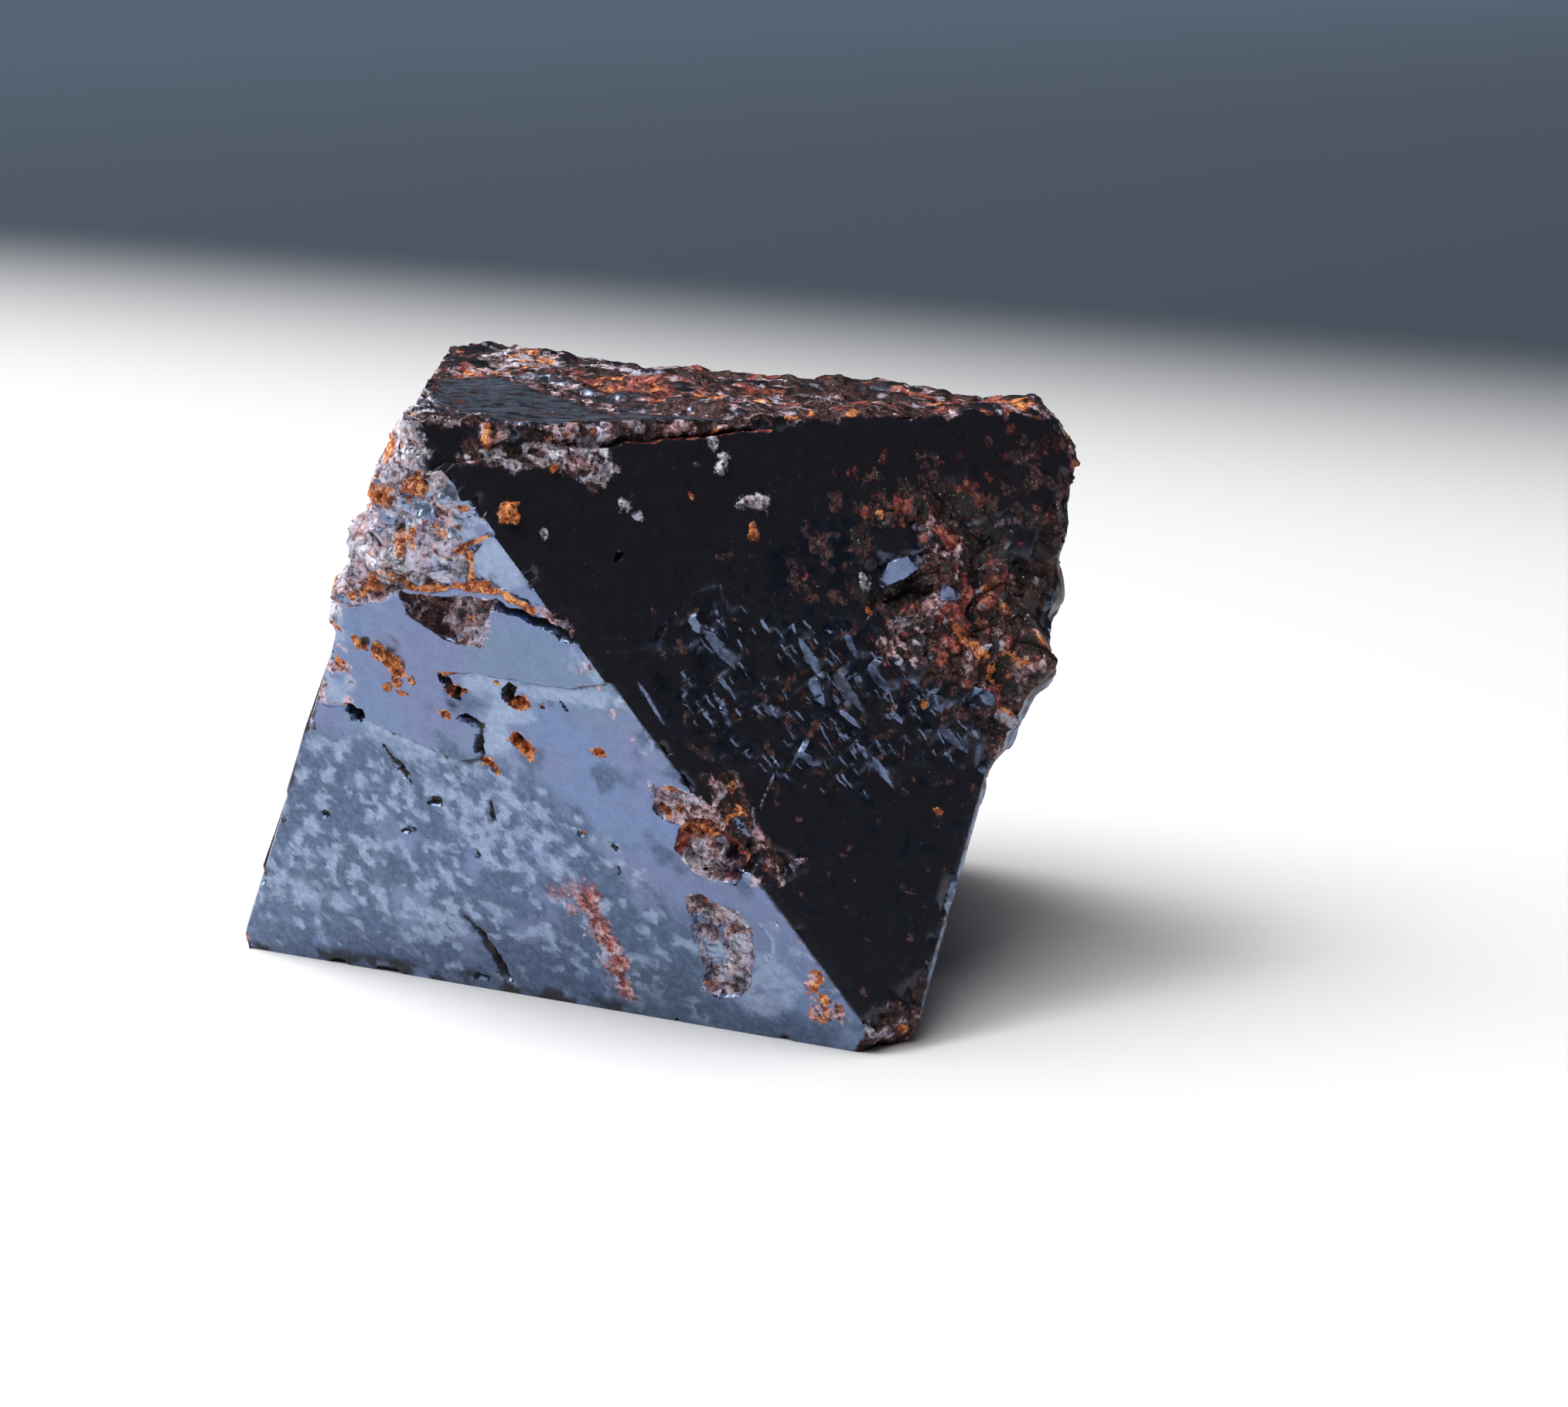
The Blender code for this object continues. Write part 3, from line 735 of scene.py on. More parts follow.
rightFace = {
    "wobble": ((0.9, 0.08), (0.3, 0.06)),
    "faint": {"clay": 0.58, "blush": 0.65, "haze": 0.7, "red": 0.7},  # thin marks on the small lumps
    "zones": rightZones,
    "calm": (
        ((6.1, 12.9), (6.3, 13.6), (7.2, 13.55), (6.95, 12.6)),
        ((7.2, 12.4), (7.9, 12.0), (7.7, 11.5), (7.2, 11.7)),
        ((3.6, 11.95), (4.7, 11.8), (4.5, 11.2), (3.7, 11.25)),
        ((1.8, 10.4), (2.5, 9.8), (4.2, 9.7), (4.1, 8.9), (2.9, 9.0)),
        ((1.9, 14.1), (3.3, 14.0), (3.5, 13.3), (2.2, 13.2)),
    ),
    "pits": (
        ((-5.70, 14.00), (0.16, 0.14), 0.4, 0.25, {"deep": 0.8}),
        ((2.95, 12.10), (0.8, 0.3), 0.1, 0.35, {"deep": 0.7}),
        ((-4.9, 11.95), (0.3, 0.1), 0.7, 0.12, {"deep": 0.6}),
        ((-3.4, 5.9), (0.25, 0.3), 0.2, 0.25, {"deep": 0.7}),
    ),
    "lumps": (
        ((-8.68, 15.37), (0.27, 0.33), 0.1, 0.30, "rust"),
        ((-9.75, 15.72), (0.16, 0.12), 0.1, 0.16, "rust"),
        ((-7.14, 16.40), (0.15, 0.12), 0.0, 0.14, "rust"),
        ((-8.75, 17.45), (0.16, 0.36), 0.0, 0.10, "rust"),
        ((-5.35, 15.28), (0.30, 0.14), 0.5, 0.05, "clay"),
        ((-5.00, 14.95), (0.20, 0.12), -0.3, 0.05, "clay"),
        ((-1.54, 15.05), (0.46, 0.18), 0.0, 0.08, "clay"),
        ((-2.25, 16.20), (0.14, 0.26), 0.0, 0.10, "clay"),
        ((-2.96, 16.29), (0.10, 0.08), 0.0, 0.06, "haze"),
        ((-2.40, 16.75), (0.16, 0.22), 0.0, 0.10, "clay"),
        ((-7.77, 14.78), (0.10, 0.14), 0.0, 0.03, "clay"),
        ((-3.34, 15.33), (0.07, 0.09), 0.0, 0.04, "rust"),
        ((-1.65, 14.28), (0.08, 0.28), -0.3, 0.06, "rust"),
        ((3.70, 10.72), (0.30, 0.24), 0.5, 0.06, "red"),
        ((4.65, 10.25), (0.22, 0.22), 0.4, 0.08, "rust"),
        ((4.90, 9.72), (0.20, 0.22), 0.0, 0.08, "rust"),
        ((5.26, 11.74), (0.32, 0.20), 0.2, 0.08, "red"),
        ((6.80, 11.75), (0.44, 0.20), -0.5, 0.06, "red"),
        ((7.55, 11.10), (0.14, 0.36), 0.0, 0.05, "red"),
        ((1.89, 14.43), (0.16, 0.18), 0.0, 0.05, "red"),
        ((2.42, 14.38), (0.09, 0.08), 0.0, 0.05, "rust"),
        ((1.46, 11.85), (0.12, 0.12), 0.0, 0.05, "rust"),
        ((2.72, 9.14), (0.12, 0.10), 0.0, 0.04, "rust"),
        ((8.26, 14.05), (0.12, 0.16), 0.2, 0.08, "clay"),
        ((8.04, 13.36), (0.06, 0.24), 0.2, 0.05, "blush"),
        ((6.45, 13.75), (0.45, 0.09), 0.1, 0.05, "blush"),
        ((6.10, 12.15), (0.08, 0.28), 0.0, 0.05, "haze"),
        ((5.70, 14.30), (0.12, 0.12), 0.0, 0.06, "haze"),
        ((3.61, 13.21), (0.08, 0.08), 0.0, 0.05, "haze"),
        ((1.55, 12.62), (0.16, 0.22), 0.0, 0.08, "clay"),
        ((3.45, 11.75), (0.40, 0.22), 0.6, 0.06, "blush"),
        ((4.80, 10.45), (0.26, 0.10), 0.3, 0.06, "clay"),
        ((2.48, 6.24), (0.12, 0.10), 0.0, 0.06, "rust"),
        ((-4.10, 7.75), (0.14, 0.12), 0.0, 0.08, "blush"),
        ((-3.62, 7.70), (0.12, 0.14), 0.0, 0.08, "rust"),
        ((-2.00, 5.48), (0.26, 0.08), -0.2, 0.05, "blush"),
    ),
    "cracks": (
        (((4.95, 12.89), (4.9, 11.87), (4.58, 11.43), (4.7, 10.9)), 0.10, 0.26),
    ),
    "veins": (
        (((7.8, 15.6), (8.3, 16.0)), 0.3, "red", 0.3, 0.0),
        (((-4.9, 16.93), (-3.2, 16.95), (-0.5, 16.95)), 0.05, "red", 1.0, 0.03),
        (((-2.85, 7.03), (-2.22, 8.18)), 0.03, "haze", 0.8, 0.05),
        (((1.9, 8.2), (1.8, 7.7)), 0.03, "haze", 0.6, 0.03),
        (((4.0, 11.2), (4.3, 10.7), (4.5, 10.2)), 0.12, "rust", 0.7, 0.05),
    ),
    # steps that look the same way as the left face: start, end and rise
    "risers": (
        ((-4.01, 12.24), (-3.73, 11.73), 0.36), ((-3.60, 11.82), (-2.90, 10.65), 0.42),
        ((-3.22, 12.53), (-3.04, 11.49), 0.14), ((-2.94, 12.98), (-2.86, 12.01), 0.12),
        ((-3.46, 10.58), (-3.05, 9.92), 0.22), ((-5.86, 10.78), (-5.17, 9.29), 0.14),
        ((-0.87, 11.32), (-0.35, 10.15), 0.34), ((-0.70, 10.19), (-0.39, 9.40), 0.42),
        ((0.07, 10.25), (0.69, 9.13), 0.48), ((0.62, 10.18), (0.74, 9.75), 0.29),
        ((0.07, 9.27), (0.60, 8.72), 0.24), ((1.14, 10.33), (1.69, 9.43), 0.38),
        ((0.61, 11.30), (0.81, 10.51), 0.28), ((1.58, 9.10), (1.89, 8.64), 0.24),
        ((2.79, 9.37), (3.16, 8.77), 0.29), ((4.21, 9.35), (4.67, 8.73), 0.50),
        ((3.01, 8.43), (3.76, 7.64), 0.32), ((-1.44, 8.35), (-0.87, 7.84), 0.32),
        ((0.76, 7.94), (1.29, 6.94), 0.22), ((0.47, 8.26), (0.64, 7.75), 0.14),
        ((-0.70, 9.02), (-0.36, 8.18), 0.10), ((-2.30, 9.76), (-2.10, 9.36), 0.20),
        ((-3.54, 9.77), (-3.38, 9.21), 0.18), ((-3.75, 6.9), (-3.3, 6.2), 0.20),
    ),
    "riserField": {
        "outline": (
            (-3.9, 12.4), (-2.7, 12.9), (-0.6, 11.9), (1.2, 11.4), (2.4, 9.9), (4.2, 8.4), (2.2, 7.0),
            (-0.4, 7.0), (-2.5, 7.8), (-5.2, 9.6),
        ),
        "count": 130, "length": (0.15, 0.6), "rise": (0.04, 0.12), "seed": 5,
    },
    # flat chips: outline, the way down and the slope
    "chips": (
        (((2.15, 12.5), (2.35, 13.1), (2.85, 13.2), (3.15, 12.75), (2.7, 12.5)), (-0.87, -0.5), 0.75),
        (((3.6, 11.85), (3.8, 12.3), (4.3, 12.0), (4.2, 11.8)), (-0.87, -0.5), 0.6),
    ),
}

topZones = (
    zone(  # the whole break is rough
        wholeFace,
        edge=0.1, calm=0.93, bumps=((1.8, 0.18), (0.7, 0.12), (0.25, 0.03)), grains=((0.9, 0.08),),
        umber=(1.2, 1.3), brown=(0.8, 0.62), red=(0.6, 0.16), blush=(0.6, 0.08), clay=(0.6, 0.05),
    ),
    zone(  # yellow and orange ground
        ((-8.1, 3.5), (-7.6, 4.6), (-6.6, 4.4), (-5.9, 2.0), (-6.6, 1.5)),
        edge=0.9, rust=(0.5, 0.36), clay=(0.4, 0.35), blush=(0.4, 0.3),
    ),
    zone(
        ((-6.9, -1.6), (-5.9, 0.3), (-4.9, 0.2), (-5.0, -1.0), (-6.0, -2.2)),
        edge=0.9, red=(0.5, 0.5), rust=(0.4, 0.22), blush=(0.4, 0.4),
    ),
    zone(
        ((-3.4, 0.8), (-2.3, 2.6), (0.7, -1.6), (0.9, -2.6), (-0.3, -3.4), (-1.6, -1.5)),
        edge=0.9, red=(0.7, 0.7), rust=(0.5, 0.24), brown=(0.5, 0.3),
    ),
    zone(
        ((6.6, 4.2), (7.2, 6.6), (8.6, 6.2), (8.6, 4.4)),
        edge=0.9, red=(0.6, 0.5), rust=(0.5, 0.22),
    ),
    zone(  # pale lilac and pink spots
        ((-3.6, -2.4), (-3.0, -1.8), (-2.5, -2.4), (-3.0, -2.9)),
        edge=0.4, clay=(0.3, 0.7),
    ),
    zone(
        ((-0.7, -2.9), (-0.3, -2.3), (0.3, -2.2), (0.0, -3.0)),
        edge=0.4, blush=(0.4, 0.9),
    ),
    zone(
        ((-6.0, 4.6), (-5.2, 5.8), (-3.0, 4.6), (-3.2, 3.4)),
        edge=0.8, clay=(0.5, 0.5), haze=(0.5, 0.3),
    ),
    zone(  # pink and brown band behind the smooth wedge
        ((1.0, 0.8), (3.9, 2.9), (7.6, 1.4), (7.4, -1.8), (5.8, -4.8), (3.2, -3.2), (1.2, -2.0)),
        edge=0.8, blush=(0.5, 0.22), brown=(0.6, 0.55), rust=(0.5, 0.06),
    ),
    zone(  # clay round the front corner
        ((-7.0, -3.0), (-5.4, -4.2), (-2.1, -8.7), (-1.1, -8.7), (0.5, -10.0), (0.9, -12.6), (-3, -12)),
        edge=0.3, lift=0.04, bumps=((0.5, 0.08),), grains=((0.3, 0.05),),
        clay=(0.6, 0.7), blush=(0.4, 0.3), rust=(0.4, 0.1), brown=(0.4, 0.35),
    ),
    zone(  # thin dust on the smooth wedge
        ((-6.5, -3.0), (-4.5, -0.4), (2.7, -3.0), (7, -4.0), (7.5, -8), (1.1, -10.5), (-2.1, -9.5)),
        edge=1.0, haze=(0.9, 1.3), umber=(0.3, 0.3), brown=(0.2, 0.3),
    ),
    zone(  # its rear edge is crusted
        ((-4.8, -0.9), (-2.6, -1.4), (-0.3, -3.1), (1.6, -3.8), (2.8, -3.1), (5.0, -2.9), (6.6, -4.6),
         (5.5, -5.1), (4.4, -4.2), (2.8, -4.6), (1.4, -5.1), (-0.7, -4.4), (-3.0, -2.8), (-4.8, -2.0)),
        edge=0.4, grains=((0.4, 0.05), (0.2, 0.02)), brown=(0.4, 0.9), blush=(0.3, 0.3),
    ),
)

topFace = {
    "wobble": ((1.6, 0.25), (0.5, 0.10)),
    "zones": topZones,
    "calm": (
        (
            (-5.5, -3.7), (-5.9, -2.6), (-4.5, -1.4), (-2.8, -2.2), (-0.5, -3.9), (1.5, -4.5), (2.7, -3.9),
            (4.6, -3.6), (5.8, -4.8), (6.5, -7.0), (4.1, -7.9), (2.8, -8.8), (1.1, -9.5), (0.5, -10.0),
            (-1.1, -8.7), (-2.1, -8.7),
        ),
    ),
}

crusts = (  # thickened corners and flanks: middle, reach and swelling
    ((-3.0, -10.9, 13.1), 4.2, 0.42),
    ((10.4, 1.8, 9.9), 5.0, 0.60),
    ((-8.5, 4.0, 12.0), 5.0, 0.20),
    ((3.0, 10.0, 6.0), 5.0, 0.15),
)

topLumps = {"rise": 0.30, "sizes": ((4.2, 0.65), (1.8, 0.35))}


def ring(middle, sizes, angles):
    # An outline round a middle.
    return [tuple(middle + size * np.array([math.cos(a), math.sin(a)])) for size, a in zip(sizes, angles)]


def wildFace(seed, crusted):
    # Growth layers, pits and crust for a face, placed at random.
    pick = np.random.default_rng(seed)
    zones = []
    for turn in range(5):
        middle = np.array([pick.uniform(-4, 4), pick.uniform(3, 14)])
        layer = ring(middle, [pick.uniform(2.0, 5.0)] * 3, np.radians((90, 210, 330)))
        zones.append(zone(layer, edge=0.12, lift=pick.uniform(0.05, 0.12)))
    zones.append(zone(
        ((-11, 0.6), (11, 0.6), (11, 19), (-11, 19)),
        edge=0.8, bumps=((3.0, 0.03),),
        dusk=(1.2, 0.4), haze=(0.5, 0.26), umber=(1.2, 0.5 * crusted), brown=(0.5, 0.5 * crusted),
    ))
    for turn in range(4):
        middle = np.array([pick.uniform(-6, 6), pick.uniform(2, 15)])
        size = pick.uniform(0.8, 2.4)
        angles = np.sort(pick.uniform(0, 2 * math.pi, 7))
        patch = ring(middle, [size * pick.uniform(0.6, 1.1) for a in angles], angles)
        zones.append(zone(
            patch, edge=0.4, lift=pick.uniform(-0.15, 0.08),
            bumps=((0.8, 0.12), (0.35, 0.06)), grains=((0.4, 0.06), (0.2, 0.03)),
            brown=(0.8, 0.6), clay=(0.6, 0.3), blush=(0.5, 0.3), rust=(0.5, 0.16),
        ))
    pits = []
    for turn in range(14):
        place = (pick.uniform(-8, 8), pick.uniform(1, 16))
        half = (pick.uniform(0.08, 0.3), pick.uniform(0.08, 0.3))
        kind = {"deep": 0.8} if pick.random() < 0.5 else {"rust": 0.9}
        pits.append((place, half, pick.uniform(-1, 1), pick.uniform(0.1, 0.3), kind))
    return {"wobble": ((1.1, 0.12), (0.35, 0.06)), "zones": tuple(zones), "pits": tuple(pits)}


brokenCorner = {
    "zones": (zone(
        wholeFace,
        edge=0.1, bumps=((1.2, 0.10), (0.5, 0.08)), grains=((0.5, 0.06), (0.22, 0.04)),
        brown=(0.9, 0.7), blush=(0.3, 0.2), clay=(0.4, 0.15), rust=(0.4, 0.06),
    ),),
}

crustedCorner = {
    "zones": (zone(
        wholeFace,
        edge=0.1, bumps=((1.3, 0.12), (0.5, 0.12)), grains=((0.5, 0.10), (0.2, 0.03)),
        clay=(0.8, 0.9), haze=(0.5, 0.3), blush=(0.45, 0.4), rust=(0.5, 0.2),
    ),),
}

cleanBevel = {
    "zones": (
        zone(wholeFace, edge=0.1, haze=(1.0, 0.3)),
        zone(
            ((-9, 7.2), (9, 7.2), (9, 15), (-9, 15)),
            edge=0.8, bumps=((1.4, 0.22), (0.6, 0.14), (0.25, 0.04)), grains=((0.5, 0.10),),
            brown=(0.8, 1.2), clay=(0.5, 0.1), rust=(0.5, 0.10),
        ),
    ),
}

looks = {
    "left": leftFace,
    "right": rightFace,
    "top": topFace,
    "east": wildFace(3, 0.35),
    "west": wildFace(8, 0.25),
    "north": wildFace(12, 0.30),
    "northWest": wildFace(21, 0.30),
    "eastFlat": cleanBevel,
}
for breakName in octahedron["breaks"]:
    looks[breakName] = brokenCorner
looks["upperFront"] = crustedCorner
# The crust reaches round the upper front corner onto the west face.
looks["west"]["zones"] += ({
    **crustedCorner["zones"][0],
    "outline": ((4.4, 18), (5.2, 14.8), (5.9, 12.6), (7.0, 11.4), (9.5, 11.6), (12, 18)), "edge": 0.5,
},)


def stepUp(depth, edge):
    return smooth(depth / edge + 0.5)


def patches(points, size, share, seed):
    # 1 in patches about size across that cover about this share, 0 between them.
    value = lumps(points, size, seed) + 0.4 * lumps(points, size * 0.4, seed + 1)
    return smooth((value - (0.5 - share) * 1.7) / 0.7 + 0.5)


def ovalReach(u, v, points, place, half, turn, seed):
    # Below 1 inside a ragged oval.
    across = (u - place[0]) * math.cos(turn) + (v - place[1]) * math.sin(turn)
    upward = (v - place[1]) * math.cos(turn) - (u - place[0]) * math.sin(turn)
    ragged = 0.28 * lumps(points, 0.20, seed) + 0.25 * lumps(points, 0.09, seed + 1)
    return np.hypot(across / half[0], upward / half[1]) + ragged


riserSlope = 55  # degrees
riserShare = 0.58  # of the rise that each riser is given


def riserRamp(u, v, points, start, end, rise):
    # A short step that looks towards the left face and falls back on both sides: its height, and where
    # it is bare. Its upper end is blunt, and its lower end a long taper.
    along = np.array(end) - np.array(start)
    length = np.hypot(*along)
    along = along / length
    part = ((u - start[0]) * along[0] + (v - start[1]) * along[1]) / length
    across = (v - start[1]) * along[0] - (u - start[0]) * along[1]
    across += 0.03 * lumps(points, 0.16, 41)
    taper = np.clip(np.minimum(6.0 * part + 0.2, 2.4 - 2.4 * part), 0, 1)
    climb = across * math.tan(math.radians(riserSlope))
    ramp = np.clip(climb, -0.4 * rise * taper, 0.6 * rise * taper)
    bare = smooth((0.8 * rise * taper - np.abs(climb - 0.1 * rise)) / (0.2 * rise))
    return ramp * smooth(1.3 - np.abs(across) / min(0.8, 0.8 * length)), bare


def fieldRisers(field):
    pick = np.random.default_rng(field["seed"])
    corners = np.array(field["outline"])
    found = []
    while len(found) < field["count"]:
        place = pick.uniform(corners.min(axis=0), corners.max(axis=0))
        angle = math.radians(120 + pick.normal(0, 5))
        length, rise = pick.uniform(*field["length"]), pick.uniform(*field["rise"])
        if outlineDepth(place[:1], place[1:], field["outline"])[0] > 0:
            end = place - length * np.array([math.cos(angle), math.sin(angle)])
            found.append((tuple(place), tuple(end), rise))
    return found


def blankGround(name, points, seed):
    # The flat face under the points, and (u, v) on it, both straight and with a wobble.
    face = faces[name]
    flat = points - np.outer(heightAbove(face, points), face["out"])
    u, v = (flat - face["foot"]) @ face["along"], (flat - face["foot"]) @ face["up"]
    ground = {"flat": flat, "seed": seed, "straight": (u, v), "height": np.zeros(len(points))}
    for turn, (size, reach) in enumerate(looks[name].get("wobble", ())):
        u = u + reach * lumps(flat, size, seed + turn)
        v = v + reach * lumps(flat, size, seed + 5 + turn)
    ground["wavy"] = (u, v)
    ground["amounts"] = {mark: np.zeros(len(points)) for mark in marks}
    return ground


def atLeast(ground, mark, where, value):
    # Raise the amount of a mark to this value where it is lower.
    amount = ground["amounts"][mark]
    amount[where] = np.maximum(amount[where], value)


def wipe(ground, where, share):
    # Take away this share of every mark.
    for amount in ground["amounts"].values():
        amount[where] *= 1 - share


def zoneRelief(points, area, seed):
    # Height of a zone's bumps and grains, and the most that it can be.
    relief, most = np.zeros(len(points)), 1e-9
    for turn, (size, rise) in enumerate(area["bumps"]):
        relief += rise * lumps(points, size, seed + turn)
        most += rise
    for turn, (size, rise) in enumerate(area["grains"]):
        grain, gap = grainCells(points, size, seed + 7 + turn)
        relief += rise * (grain * 1.4 - 0.7 + gap * 0.8 - 0.5)
        most += rise
    return relief, most


def growZones(look, ground):
    u, v = ground["wavy"]
    calm = np.zeros(len(u))
    for outline in look.get("calm", ()):
        calm = np.maximum(calm, smooth(outlineDepth(u, v, outline) / 0.3 + 0.5))
    for number, area in enumerate(look["zones"]):
        depth = outlineDepth(u, v, area["outline"])
        near = depth > -area["edge"]
        stays = 1 - area["calm"] * calm[near]
        amount = stepUp(depth[near], area["edge"]) * stays
        cover = stepUp(depth[near] + 0.35 * area["edge"], area["edge"]) * stays
        here, own = ground["flat"][near], ground["seed"] + 20 * number
        relief, most = zoneRelief(here, area, own)
        ground["height"][near] += amount * (area["lift"] + relief)
        if most > 0.08:
            # Painted shade: the low places among bumps and grains are marked to be darkened.
            atLeast(ground, "hollow", near, amount * smooth((0.05 - relief / most) / 0.7))
        for turn, (mark, (size, share)) in enumerate(area["marks"].items()):
            patch = cover * patches(here, size, share, own + 11 + turn)
            # A mark thins those that come after it in the list, but for the painted hollow shade.
            for other in marks[marks.index(mark) + 1:-1]:
                ground["amounts"][other][near] *= 1 - 0.6 * patch
            atLeast(ground, mark, near, patch)


def ovals(listed, ground, seed):
    # Each raised or sunk oval: the points near it, how far out they lie, and what is left of its values.
    u, v = ground["wavy"]
    for number, (place, half, turn, *rest) in enumerate(listed):
        near = np.hypot(u - place[0], v - place[1]) < 2 * max(half)
        reach = ovalReach(u[near], v[near], ground["flat"][near], place, half, turn, seed + number)
        yield near, reach, *rest


def digPits(look, ground):
    # Sunk pits: their deep mark is painted shade, and rust rings their rim.
    for near, reach, depth, kinds in ovals(look.get("pits", ()), ground, ground["seed"]):
        inside, rim = smooth((1.12 - reach) * 2.6), smooth((1.5 - reach) * 2.2)
        ground["height"][near] -= depth * inside
        for mark, value in kinds.items():
            atLeast(ground, mark, near, value * (rim if mark == "rust" else inside))


def raiseLumps(look, ground):
    for near, reach, rise, mark in ovals(look.get("lumps", ()), ground, ground["seed"] + 90):
        ragged = 1.2 + 0.5 * lumps(ground["flat"][near], 0.14, ground["seed"])
        ground["height"][near] += smooth((1.05 - reach) * 1.8) * rise * ragged
        strength = look.get("faint", {}).get(mark, 1.0)
        atLeast(ground, mark, near, strength * smooth((1.35 - reach) * 2.0))


def drawLines(look, ground):
    # Cracks, darkened with painted shade, and then thin veins: of crust, and of painted shadow along ledges.
    u, v = ground["wavy"]
    for path, width, depth in look.get("cracks", ()):
        ragged = 1 + 0.4 * lumps(ground["flat"], 0.3, ground["seed"])
        inside = smooth(1.4 - lineGap(u, v, path) / width * ragged)
        ground["height"] -= depth * inside
        atLeast(ground, "deep", ..., inside)
    for path, width, mark, strength, rise in look.get("veins", ()):
        ragged = 0.6 * lumps(ground["flat"], 0.3, ground["seed"] + 7)
        inside = smooth(1.4 - lineGap(u, v, path) / width - ragged)
        ground["height"] += rise * inside
        atLeast(ground, mark, ..., strength * inside)


def tiltChips(look, ground):
    # Clean flat chips that slope down one way.
    u, v = ground["straight"]
    for outline, (downU, downV), slope in look.get("chips", ()):
        middle = np.mean(outline, axis=0)
        inside = smooth(outlineDepth(u, v, outline) / 0.1 + 0.5)
        tilt = -slope * ((u - middle[0]) * downU + (v - middle[1]) * downV)
        ground["height"][:] = ground["height"] * (1 - inside) + inside * tilt
        wipe(ground, ..., inside)


def raiseRisers(look, ground):
    # Bare steps, some of them painted dimmer than others with dark film laid on as shade.
    risers = list(look.get("risers", ()))
    if "riserField" in look:
        risers += fieldRisers(look["riserField"])
    u, v = ground["wavy"]
    straightU, straightV = ground["straight"]
    for number, (start, end, rise) in enumerate(risers):
        near = np.hypot(u - (start[0] + end[0]) / 2, v - (start[1] + end[1]) / 2) < 1.8
        here = straightU[near], straightV[near], ground["flat"][near]
        ramp, bare = riserRamp(*here, start, end, riserShare * rise)
        ground["height"][near] += ramp
        wipe(ground, near, bare)
        dim = number * 0.618 % 1
        atLeast(ground, "dusk", near, (0.4 + 0.6 * dim) * bare)
        atLeast(ground, "umber", near, 0.65 * dim * bare)


def growFace(name, points, seed):
    # Height that grew on the flat face, and the amount of each mark.
    ground = blankGround(name, points, seed)
    for grow in (growZones, digPits, raiseLumps, drawLines, tiltChips, raiseRisers):
        grow(looks[name], ground)
    return ground["height"], ground["amounts"]


def swelling(points):
    total = np.zeros(len(points))
    ragged = 1 + 0.8 * lumps(points, 1.5, 61) + 0.4 * lumps(points, 0.6, 62)
    for middle, reach, rise in crusts:
        gap = np.linalg.norm(points - np.array(middle), axis=1)
        total += rise * smooth(1 - gap / reach) * ragged
    return total


def broadLumps(points):
    sizes = topLumps["sizes"]
    rises = [sum(share * noise.noise(Vector(p) / size) for size, share in sizes) for p in points]
    return topLumps["rise"] * np.array(rises)


def squareUp(points, reach):
    # Bring points that the remesh left near a face exactly onto it, and say which faces each is on.
    names = list(faces)
    near = np.stack([heightAbove(faces[name], points) > -reach for name in names], axis=1)
    for turn in range(6):
        for column, name in enumerate(names):
            gap = heightAbove(faces[name], points) * near[:, column]
            points = points - np.outer(gap, faces[name]["out"])
    return points, near


edges = {"wear": 0.035, "nicks": 0.16, "reach": 0.35}


def edgeWear(points):
    # How much is worn off near the edges: a little all along, and more at scattered nicks.
    second = np.sort(np.stack([heightAbove(face, points) for face in faces.values()]), axis=0)[-2]
    near = smooth(1 + second / edges["reach"])
    nicks = smooth((lumps(points, 0.9, 71) + 0.6 * lumps(points, 0.3, 72) - 0.35) / 0.35)
    return near**2 * (edges["wear"] + edges["nicks"] * nicks)


def sculpt(body):
    points = readPoints(body.data)
    points, on = squareUp(points, 0.8 * octahedron["voxel"])
    wear = edgeWear(points)
    heights, gates = {}, {}
    amounts = {mark: np.zeros(len(points)) for mark in marks}
    for column, name in enumerate(faces):
        near = heightAbove(faces[name], points) > -octahedron["coreDepth"]
        if name == "rest":
            heights[name], gates[name] = np.zeros(near.sum()), near
            continue
        height, own = growFace(name, points[near], seed=100 * column)
        height += swelling(points[near]) - wear[near]
        if name == "top":
            height += broadLumps(points[near])
        lifted = smooth(points[near][:, 2] / octahedron["footFade"])
        heights[name], gates[name] = np.where(height > 0, height * lifted, height), near
        owned = on[near, column]
        for mark in marks:
            values = np.where(owned, own[mark], 0)
            amounts[mark][near] = np.maximum(amounts[mark][near], values)
    for turn in range(4):
        for column, (name, face) in enumerate(faces.items()):
            near = gates[name]
            gap = heightAbove(face, points[near]) - heights[name]
            move = np.where(on[near, column], gap, np.maximum(gap, 0))
            points[near] -= np.outer(move, face["out"])
    writePoints(body.data, points)
    for mark in marks:
        layer = body.data.attributes.new(mark, "FLOAT", "POINT")
        layer.data.foreach_set("value", amounts[mark].astype(np.float32))


thinning = {
    "seenFaces": ("left", "right", "top"),
    "seenReach": 0.8,
    "seenWeight": 0.01,
    "triangles": 196000,
    "evenness": 2e-3,
    "shake": 0.0005,  # moves points a little at random, so that no two choices are equally good
    "seed": 4,
}


